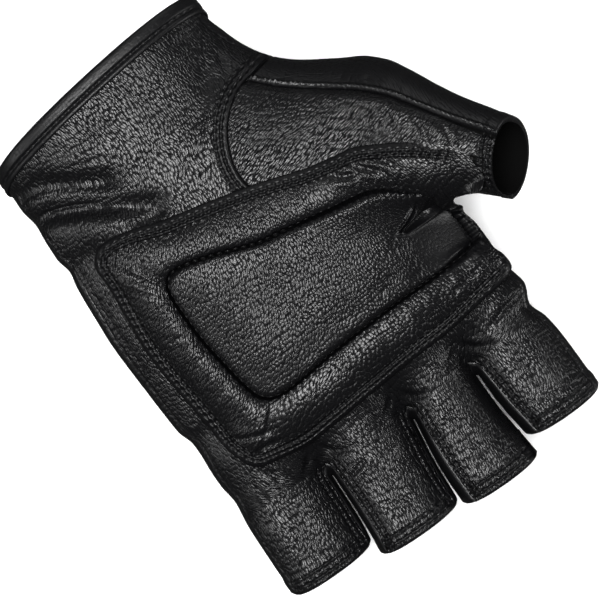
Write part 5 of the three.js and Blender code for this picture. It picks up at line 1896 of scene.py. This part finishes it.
@dataclass
class CuffBinding:
    """The strip folded over the cuff's edge, held by one row of stitches."""

    pattern: Pattern
    around: int = 560
    steps: int = 4
    stitch_at: float = 4.0
    pitch: float = 2.4
    # Places along the cuff, from its edge, at which the panels' surface is read
    levels: tuple[float, ...] = (-0.2, 1.0, 2.5, 4.0, 6.1)
    # Section: distance from the cuff edge, height over the panels' outside
    section: Path = (
        (6.0, 0.25), (6.0, 0.7), (5.8, 1.1), (5.3, 1.3), (4.75, 1.15), (4.35, 0.75), (4.0, 0.55),
        (3.65, 0.8), (3.3, 1.2), (2.2, 1.2), (1.1, 1.05), (0.35, 0.75), (-0.05, 0.1), (-0.05, -1.2),
        (0.25, -2.5), (1.0, -3.1), (3.0, -3.1), (4.8, -3.1), (5.1, -2.6), (5.0, -1.9), (3.5, -1.85),
        (1.5, -1.85), (1.1, -1.2), (1.1, -0.2), (1.5, 0.28), (3.5, 0.28),
    )

    def loop(self) -> Array:
        """Angles round the cuff, evenly spread along its edge.

        Returns:
            The angles.
        """
        low = self.pattern.cuff_seams[0]
        angle = np.linspace(low, low + 2 * math.pi, 181)
        line = self.pattern.cuff_point(angle, np.full(len(angle), 3.0))
        run = arc_lengths(line)
        return np.interp(np.arange(self.around) / self.around * run[-1], run, angle)

    def outline(self) -> Array:
        """The section, drawn finely.

        Returns:
            The finer section.
        """
        profile = np.array(self.section[-2:] + self.section + self.section[:3])
        net = np.zeros((len(profile), 1, 3))
        net[:, 0, :2] = profile
        return smooth_rows(net, np.full(len(profile) - 1, self.steps))[2 * self.steps:-2 * self.steps - 1, 0]

    def build(self) -> Piece:
        """Makes the binding: the section carried round the cuff.

        Returns:
            The strip.
        """
        angle = self.loop()
        levels = np.array(self.levels)
        lines = self.pattern.cuff_point(angle[:, None], levels[None, :])
        outward = FORM.outward(lines)
        fine = self.outline()
        i = np.clip(np.searchsorted(levels, fine[:, 0]) - 1, 0, len(levels) - 2)
        t = ((fine[:, 0] - levels[i]) / (levels[i + 1] - levels[i]))[None, :, None]
        place = mix(lines[:, i], lines[:, i + 1], t)
        away = unit(mix(outward[:, i], outward[:, i + 1], t))
        height = np.broadcast_to(fine[None, :, 1], place.shape[:2])
        height = np.where(height > 0.3, 0.3 + (height - 0.3) * mix(0.55, 1.0, np.abs(away[..., 2])), height)
        place = place + away * height[..., None]
        place[..., 2] = np.maximum(place[..., 2], 0.05)
        laid = lay(arc_lengths(fine[:, :2]), arc_lengths(place[:, 0])).reshape(-1, 3)
        points = place.reshape(-1, 3)
        quads = grid_quads(len(place) + 1, len(fine), closed=True) % len(points)
        volume = np.sum(cell_normals(points, quads) * points[quads].sum(axis=1))
        quads = quads if volume > 0 else quads[:, ::-1]
        marks = Stitching.of(points, [self.row()]).marks
        piece = make_piece("cuff_binding_leather", points, [quads], laid=laid, **dict(zip(LANES, marks)))
        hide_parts("cuff_binding")
        return piece

    def row(self) -> Row:
        """The row of stitches along the palm side of the cuff.

        Returns:
            The row.
        """
        low, high = self.pattern.cuff_seams
        angle = np.linspace(low + 0.05, high - 0.05, 60)
        return Row(self.pattern.cuff_point(angle, np.full(60, self.stitch_at))[:, :2])


def node(tree: Tree, kind: str, inputs: dict | tuple = (), **settings: object) -> bpy.types.Node:
    """Adds a shader node.

    Args:
        tree: the node tree.
        kind: the node's type.
        inputs: its inputs by name or number, or in order; a socket is linked, a value is set.
        settings: its own options.

    Returns:
        The node.
    """
    made = tree.nodes.new(f"ShaderNode{kind}")
    for key, value in settings.items():
        setattr(made, key, value)
    for key, value in inputs.items() if isinstance(inputs, dict) else enumerate(inputs):
        if isinstance(value, Socket):
            tree.links.new(value, made.inputs[key])
        else:
            made.inputs[key].default_value = value
    return made


def blank(name: str) -> Material:
    """A new material whose node tree is empty.

    Args:
        name: the material's name.

    Returns:
        The material, its tree empty.
    """
    material = bpy.data.materials.new(name)
    material.use_nodes = True
    material.node_tree.nodes.clear()
    return material


def millimetres(tree: Tree) -> Socket:
    """Places on the piece, in millimetres."""
    place = node(tree, "TexCoord").outputs["Object"]
    return node(tree, "VectorMath", {0: place, "Scale": 1000.0}, operation="SCALE").outputs[0]


def colour(code: str) -> tuple[float, float, float, float]:
    """A hex sRGB colour as the linear values that shaders take.

    Args:
        code: the colour, such as #080809.

    Returns:
        Red, green, blue and alpha.
    """
    parts = np.array([int(code[i:i + 2], 16) for i in (1, 3, 5)]) / 255.0
    linear = np.where(parts <= 0.04045, parts / 12.92, ((parts + 0.055) / 1.055) ** 2.4)
    return (*(float(c) for c in linear), 1.0)


class Way(Enum):
    """Which way a piece of hide is drawn, and so its pebbles and wrinkles run: degrees from
    the flat hide's own length."""

    LENGTHWISE = 0.0
    CROSSWISE = 84.0


@dataclass(frozen=True)
class Leather:
    """Dyed full-grain leather: pebbles domed and glossy on top, duller in the creases between
    them, with fine wrinkles where it is drawn. Its colour holds painted shade: darker in the creases
    and lighter on the raised tops. Real grain is down to 0.4 mm wide; it is drawn up to twice as
    coarse, so that it shows."""

    name: str
    # A pebble's width and relief and the wrinkles' relief are millimetres; longer is how many
    # times longer than wide a pebble is
    roughness: float
    pebble: float
    longer: float
    depth: float
    wrinkles: float
    way: Way = Way.LENGTHWISE
    # Colours: the dye, kept in the creases as painted shade, and a lighter one painted on the raised pebble
    # tops as painted light
    dye: str = "#030304"
    painted_lit_tops: str = "#080809"
    # How much of its relief the grain loses here and there, and how far it wanders
    patchy: float = 0.25
    sway: float = 3.5
    fold_length: float = 4.0
    # Beside stitches: closeness at which the groove and the gathers start and are full
    groove: tuple[float, float] = (0.81, 0.94)
    groove_depth: float = 0.3
    beside: tuple[float, float] = (0.68, 0.86)
    gather: float = 0.17

    def build(self) -> Material:
        """Makes the material: its height is the grain by its strength, the wrinkles and the sewing.

        Returns:
            The material.
        """
        material = blank(self.name)
        tree = material.node_tree
        hide = node(tree, "Attribute", attribute_name="laid").outputs["Vector"]
        plain = node(tree, "SeparateXYZ", (hide,)).outputs[2]
        drift = node(tree, "TexNoise", {"Vector": hide, "Scale": 0.12, "Detail": 2.0}).outputs["Color"]
        drift = node(tree, "VectorMath", (drift, (0.5, 0.5, 0.5)), operation="SUBTRACT").outputs[0]
        drift = node(tree, "VectorMath", {0: drift, "Scale": self.sway}, operation="SCALE").outputs[0]
        swayed = node(tree, "VectorMath", (hide, drift)).outputs[0]
        turn = (0.0, 0.0, math.radians(self.way.value))
        warped, drawn = (
            node(tree, "Mapping", {"Vector": swayed, "Rotation": turn, "Scale": (1.0, longer, 1.0)},
                 vector_type="TEXTURE").outputs[0] for longer in (self.longer, self.fold_length))
        pebbles, small = (self.cells(tree, warped, size) for size in (self.pebble, self.pebble / 2.3))
        grain = node(tree, "Math", (small, 0.12, pebbles), operation="MULTIPLY_ADD").outputs[0]
        mm = millimetres(tree)
        slow = node(tree, "TexNoise", {"Vector": mm, "Scale": 0.075, "Detail": 2.0}).outputs[0]
        patchy = node(tree, "MapRange", {"Value": slow, "From Min": 0.36, "From Max": 0.62,
                                         "To Min": 1.0 - self.patchy, "To Max": 1.0}).outputs[0]
        strength = node(tree, "Math", (plain, -0.8, 1.0), operation="MULTIPLY_ADD").outputs[0]
        strength = node(tree, "Math", (patchy, strength), operation="MULTIPLY").outputs[0]
        raised = node(tree, "Math", (grain, strength), operation="MULTIPLY").outputs[0]
        folds = node(tree, "TexNoise", {"Vector": drawn, "Scale": 0.5, "Detail": 3.0, "Roughness": 0.55,
                                        "Distortion": 0.4}).outputs[0]
        fine = node(tree, "TexNoise", {"Vector": warped, "Scale": 5.0, "Detail": 3.0}).outputs[0]
        height = node(tree, "Math", (raised, self.depth), operation="MULTIPLY").outputs[0]
        for part, size in ((fine, 0.03), (folds, self.wrinkles)):
            height = node(tree, "Math", (part, size, height), operation="MULTIPLY_ADD").outputs[0]
        for lane in LANES:
            height = node(tree, "Math", (height, self.stitched(tree, lane))).outputs[0]
        bump = node(tree, "Bump", {"Strength": 1.0, "Distance": MM, "Height": height}).outputs[0]
        # Painted shade: the colour runs from the dye in the creases to the lighter painted colour on the
        # raised tops
        painted_crease_shade = node(tree, "Mix", {0: raised, 6: colour(self.dye), 7: colour(self.painted_lit_tops)}, data_type="RGBA")
        rough = node(tree, "MapRange", {"Value": raised, "To Min": min(1.0, self.roughness + 0.2),
                                        "To Max": self.roughness}).outputs[0]
        shader = node(tree, "BsdfPrincipled", {
            "Base Color": painted_crease_shade.outputs[2], "Roughness": rough, "Normal": bump, "IOR": 1.5})
        node(tree, "OutputMaterial", {"Surface": shader.outputs[0]})
        return material

    def stitched(self, tree: Tree, lane: str) -> Socket:
        """Height in millimetres beside a row of stitches: the thread's narrow groove, and the
        small gathers across it, one for each stitch.

        Args:
            tree: the nodes.
            lane: the attribute that marks the rows.

        Returns:
            The height.
        """
        mark = node(tree, "Attribute", attribute_name=lane).outputs["Vector"]
        closeness, count, _ = node(tree, "SeparateXYZ", (mark,)).outputs
        groove, beside = (
            node(tree, "MapRange", {"Value": closeness, "From Min": low, "From Max": high},
                 interpolation_type="SMOOTHSTEP").outputs[0] for low, high in (self.groove, self.beside))
        turns = node(tree, "Math", (count, 2 * math.pi), operation="MULTIPLY").outputs[0]
        gather = node(tree, "Math", (turns,), operation="COSINE").outputs[0]
        for factor in (self.gather, beside):
            gather = node(tree, "Math", (gather, factor), operation="MULTIPLY").outputs[0]
        deep = (groove, -self.groove_depth, gather)
        return node(tree, "Math", deep, operation="MULTIPLY_ADD").outputs[0]

    def cells(self, tree: Tree, place: Socket, size: float) -> Socket:
        """Pebbles with flattened tops: 1 at a pebble's middle, falling as (1.5 d)^3 to the
        crease at about d = 0.6 of its size.

        Args:
            tree: the nodes.
            place: the places.
            size: a pebble's width.

        Returns:
            The height, from 0 to 1.
        """
        far = node(tree, "TexVoronoi", {"Vector": place, "Scale": 1.0 / size, "Randomness": 0.7},
                   feature="F1", voronoi_dimensions="2D").outputs["Distance"]
        far = node(tree, "Math", (far, 1.5), operation="MULTIPLY").outputs[0]
        fall = node(tree, "Math", (far, 3.0), operation="POWER").outputs[0]
        return node(tree, "Math", (1.0, fall), operation="SUBTRACT").outputs[0]


@dataclass(frozen=True)
class TwistedThread:
    """Bonded black thread: a fine twist with a soft sheen on its crowns."""

    name: str = "black_thread"
    dye: str = "#060607"

    def build(self) -> Material:
        """Makes the material.

        Returns:
            The material.
        """
        material = blank(self.name)
        tree = material.node_tree
        twist = node(tree, "TexNoise", {"Vector": millimetres(tree), "Scale": 6.0, "Detail": 1.0}).outputs[0]
        bump = node(tree, "Bump", {"Strength": 0.6, "Distance": 0.05 * MM, "Height": twist})
        shader = node(tree, "BsdfPrincipled", {
            "Base Color": colour(self.dye), "Roughness": 0.5, "Normal": bump.outputs[0]})
        node(tree, "OutputMaterial", {"Surface": shader.outputs[0]})
        return material


@dataclass(frozen=True)
class Plain:
    """A plain matt surface with a slight nap, such as a floor."""

    name: str
    shade: str
    roughness: float
    gloss: float = 0.5
    glow: float = 0.0

    def build(self) -> Material:
        """Makes the material.

        Returns:
            The material.
        """
        material = blank(self.name)
        tree = material.node_tree
        nap = node(tree, "TexNoise", {"Vector": millimetres(tree), "Scale": 0.9, "Detail": 3.0}).outputs[0]
        bump = node(tree, "Bump", {"Strength": 0.3, "Distance": 0.1 * MM, "Height": nap})
        shader = node(tree, "BsdfPrincipled", {
            "Base Color": colour(self.shade), "Roughness": self.roughness, "Normal": bump.outputs[0],
            "Specular IOR Level": self.gloss, "Emission Color": colour(self.shade),
            "Emission Strength": self.glow})
        node(tree, "OutputMaterial", {"Surface": shader.outputs[0]})
        return material


@dataclass
class Studio:
    """A pale floor, soft lamps overhead and the camera looking straight down."""

    middle: tuple[float, float] = (0.01392, 0.00622)
    camera_height: float = 3.0
    width: float = 0.171
    subject_height: float = 0.018
    turn: float = 145.0
    floor_side: float = 6.0
    # Lamps: name, place, side, power, whether gloss shows them
    lamps: tuple[tuple[str, tuple[float, float, float], float, float, bool], ...] = (
        ("key", (0.14, -0.05, 1.24), 0.42, 12.3, True),
        ("wide", (0.0, 0.0, 1.6), 2.4, 75.0, False),
        ("little_finger_side", (1.0, -0.25, 0.5), 0.5, 2.2, True),
        ("thumb_side", (-0.65, -0.85, 0.45), 0.5, 1.0, True),
        ("index_side", (-0.95, 0.45, 0.12), 0.3, 2.6, True),
    )
    fill: float = 0.04

    def build(self) -> None:
        """Makes the floor, the lamps and the camera."""
        self.floor()
        self.camera()
        for lamp in self.lamps:
            self.lamp(*lamp)
        world = bpy.data.worlds.new("studio")
        world.use_nodes = True
        sky = world.node_tree.nodes["Background"].inputs
        sky["Color"].default_value = (1.0, 1.0, 1.0, 1.0)
        sky["Strength"].default_value = self.fill
        bpy.context.scene.world = world
        bpy.context.scene.view_settings.view_transform = "Standard"

    def floor(self) -> None:
        """The floor: a wide pale sheet just under the glove."""
        mesh = bpy.data.meshes.new("floor")
        side = self.floor_side / 2
        corners = [(-side, -side, 0.0), (side, -side, 0.0), (side, side, 0.0), (-side, side, 0.0)]
        mesh.from_pydata(corners, [], [(0, 1, 2, 3)])
        floor = bpy.data.objects.new("floor", mesh)
        floor.data.materials.append(Plain("pale_floor", "#f7f7f7", 0.85, 0.5, 0.07).build())
        floor.visible_glossy = False
        bpy.context.scene.collection.objects.link(floor)

    def camera(self) -> None:
        """The camera, far enough away that the glove's height hardly shows."""
        camera = bpy.data.objects.new("camera", bpy.data.cameras.new("camera"))
        camera.data.sensor_width = 36.0
        camera.data.lens = 36.0 * (self.camera_height - self.subject_height) / self.width
        camera.data.clip_start = 0.1
        camera.location = (*self.middle, self.camera_height)
        camera.rotation_euler = (0.0, 0.0, math.radians(self.turn))
        bpy.context.scene.collection.objects.link(camera)
        bpy.context.scene.camera = camera

    def lamp(self, name: str, place: tuple[float, float, float], side: float, power: float,
             gloss: bool) -> None:
        """A soft square lamp that points at the glove and isn't seen itself.

        Args:
            name: what it lights.
            place: where it hangs, in metres.
            side: its width.
            power: its power in watts.
            gloss: whether glossy leather shows it.
        """
        light = bpy.data.lights.new(name, "AREA")
        light.size = side
        light.energy = power
        lamp = bpy.data.objects.new(name, light)
        lamp.location = place
        lamp.rotation_euler = lamp.location.to_track_quat("Z", "Y").to_euler()
        lamp.visible_camera = False
        lamp.visible_glossy = gloss
        bpy.context.scene.collection.objects.link(lamp)


# Each finish's second colour is painted light on its raised pebble tops; its creases keep the darker dye as
# painted shade
FINISHES = {
    # Pebbled hide of the palm: bright rounded grains over black
    "palm_panel_leather": Leather(
        "pebbled_palm_leather", roughness=0.25, pebble=0.7, longer=2.1, depth=0.15, wrinkles=0.04),
    # The same hide on the back, less drawn, so its pebbles are rounder and softer
    "back_panel_leather": Leather(
        "pebbled_back_leather", roughness=0.3, pebble=0.85, longer=1.5, depth=0.11, wrinkles=0.05),
    # Pebbled hide of the thumb, its grains small, deep and long
    "thumb_front_leather": Leather(
        "pebbled_thumb_leather", roughness=0.25, pebble=0.66, longer=2.2, depth=0.155, wrinkles=0.04),
    # Thinner hide drawn round the thumb: nearly smooth, wrinkled across, satin
    "thumb_back_leather": Leather(
        "drawn_thumb_leather", roughness=0.32, pebble=0.85, longer=1.8, depth=0.07, wrinkles=0.08,
        way=Way.CROSSWISE, painted_lit_tops="#070708"),
    # Stretchy side leather: smooth and satin, with faint wrinkles
    "gusset": Leather(
        "stretch_side_leather", roughness=0.34, pebble=0.8, longer=1.8, depth=0.05, wrinkles=0.08,
        painted_lit_tops="#070708"),
    # Hide pulled over the padding: shallow glossy pebbles
    "palm_pad_leather": Leather(
        "padded_palm_leather", roughness=0.24, pebble=0.68, longer=1.7, depth=0.13, wrinkles=0.03),
    # Smooth binding leather: a dull sheen and hardly any grain
    "cuff_binding_leather": Leather(
        "smooth_binding_leather", roughness=0.36, pebble=0.85, longer=1.2, depth=0.03, wrinkles=0.05,
        painted_lit_tops="#070708"),
}
# The raw flesh side of the hide, dyed black: it gives back almost no light
INSIDE = Plain("inside_of_the_leather", "#040404", 0.9, 0.08)


def main() -> None:
    """Builds the glove piece by piece, sews it, then sets up the studio."""
    logging.basicConfig(level=logging.INFO, format="%(message)s")
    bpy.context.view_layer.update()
    pattern = Pattern(FORM)
    seams = Seams(pattern)
    pad, binding = PalmPad(), CuffBinding(pattern)
    palm, back = PalmPanel(pattern, seams).build()
    front, outer = Thumb(pattern, seams).build()
    gussets = Gussets(pattern).build()
    patch, strip = pad.build(), binding.build()
    pieces = [palm, back, front, outer, *gussets, patch, strip]
    inside = INSIDE.build()
    for piece in pieces:
        finish = FINISHES.get(piece.name, FINISHES["gusset"])
        piece.data.materials.append(bpy.data.materials.get(finish.name) or finish.build())
        piece.data.materials.append(inside)
    thread, dye = Thread(), TwistedThread().build()
    sewn_pieces = (
        ("palm_stitches", seams.palm, palm, "grain_leather"),
        ("thumb_stitches", seams.thumb, front, "grain_leather"),
        ("pad_stitches", pad.rows, patch, "pad_leather"),
        ("cuff_stitches", [binding.row()], strip, "binding_leather"),
    )
    for name, rows, cloth, slot in sewn_pieces:
        stitches = thread.build(name, rows, cloth, slot)
        stitches.data.materials.append(dye)
        pieces.append(stitches)
    for piece in pieces:
        log.info("%s: %d faces", piece.name, len(piece.data.polygons))
    Studio().build()


if __name__ == "__main__":
    main()
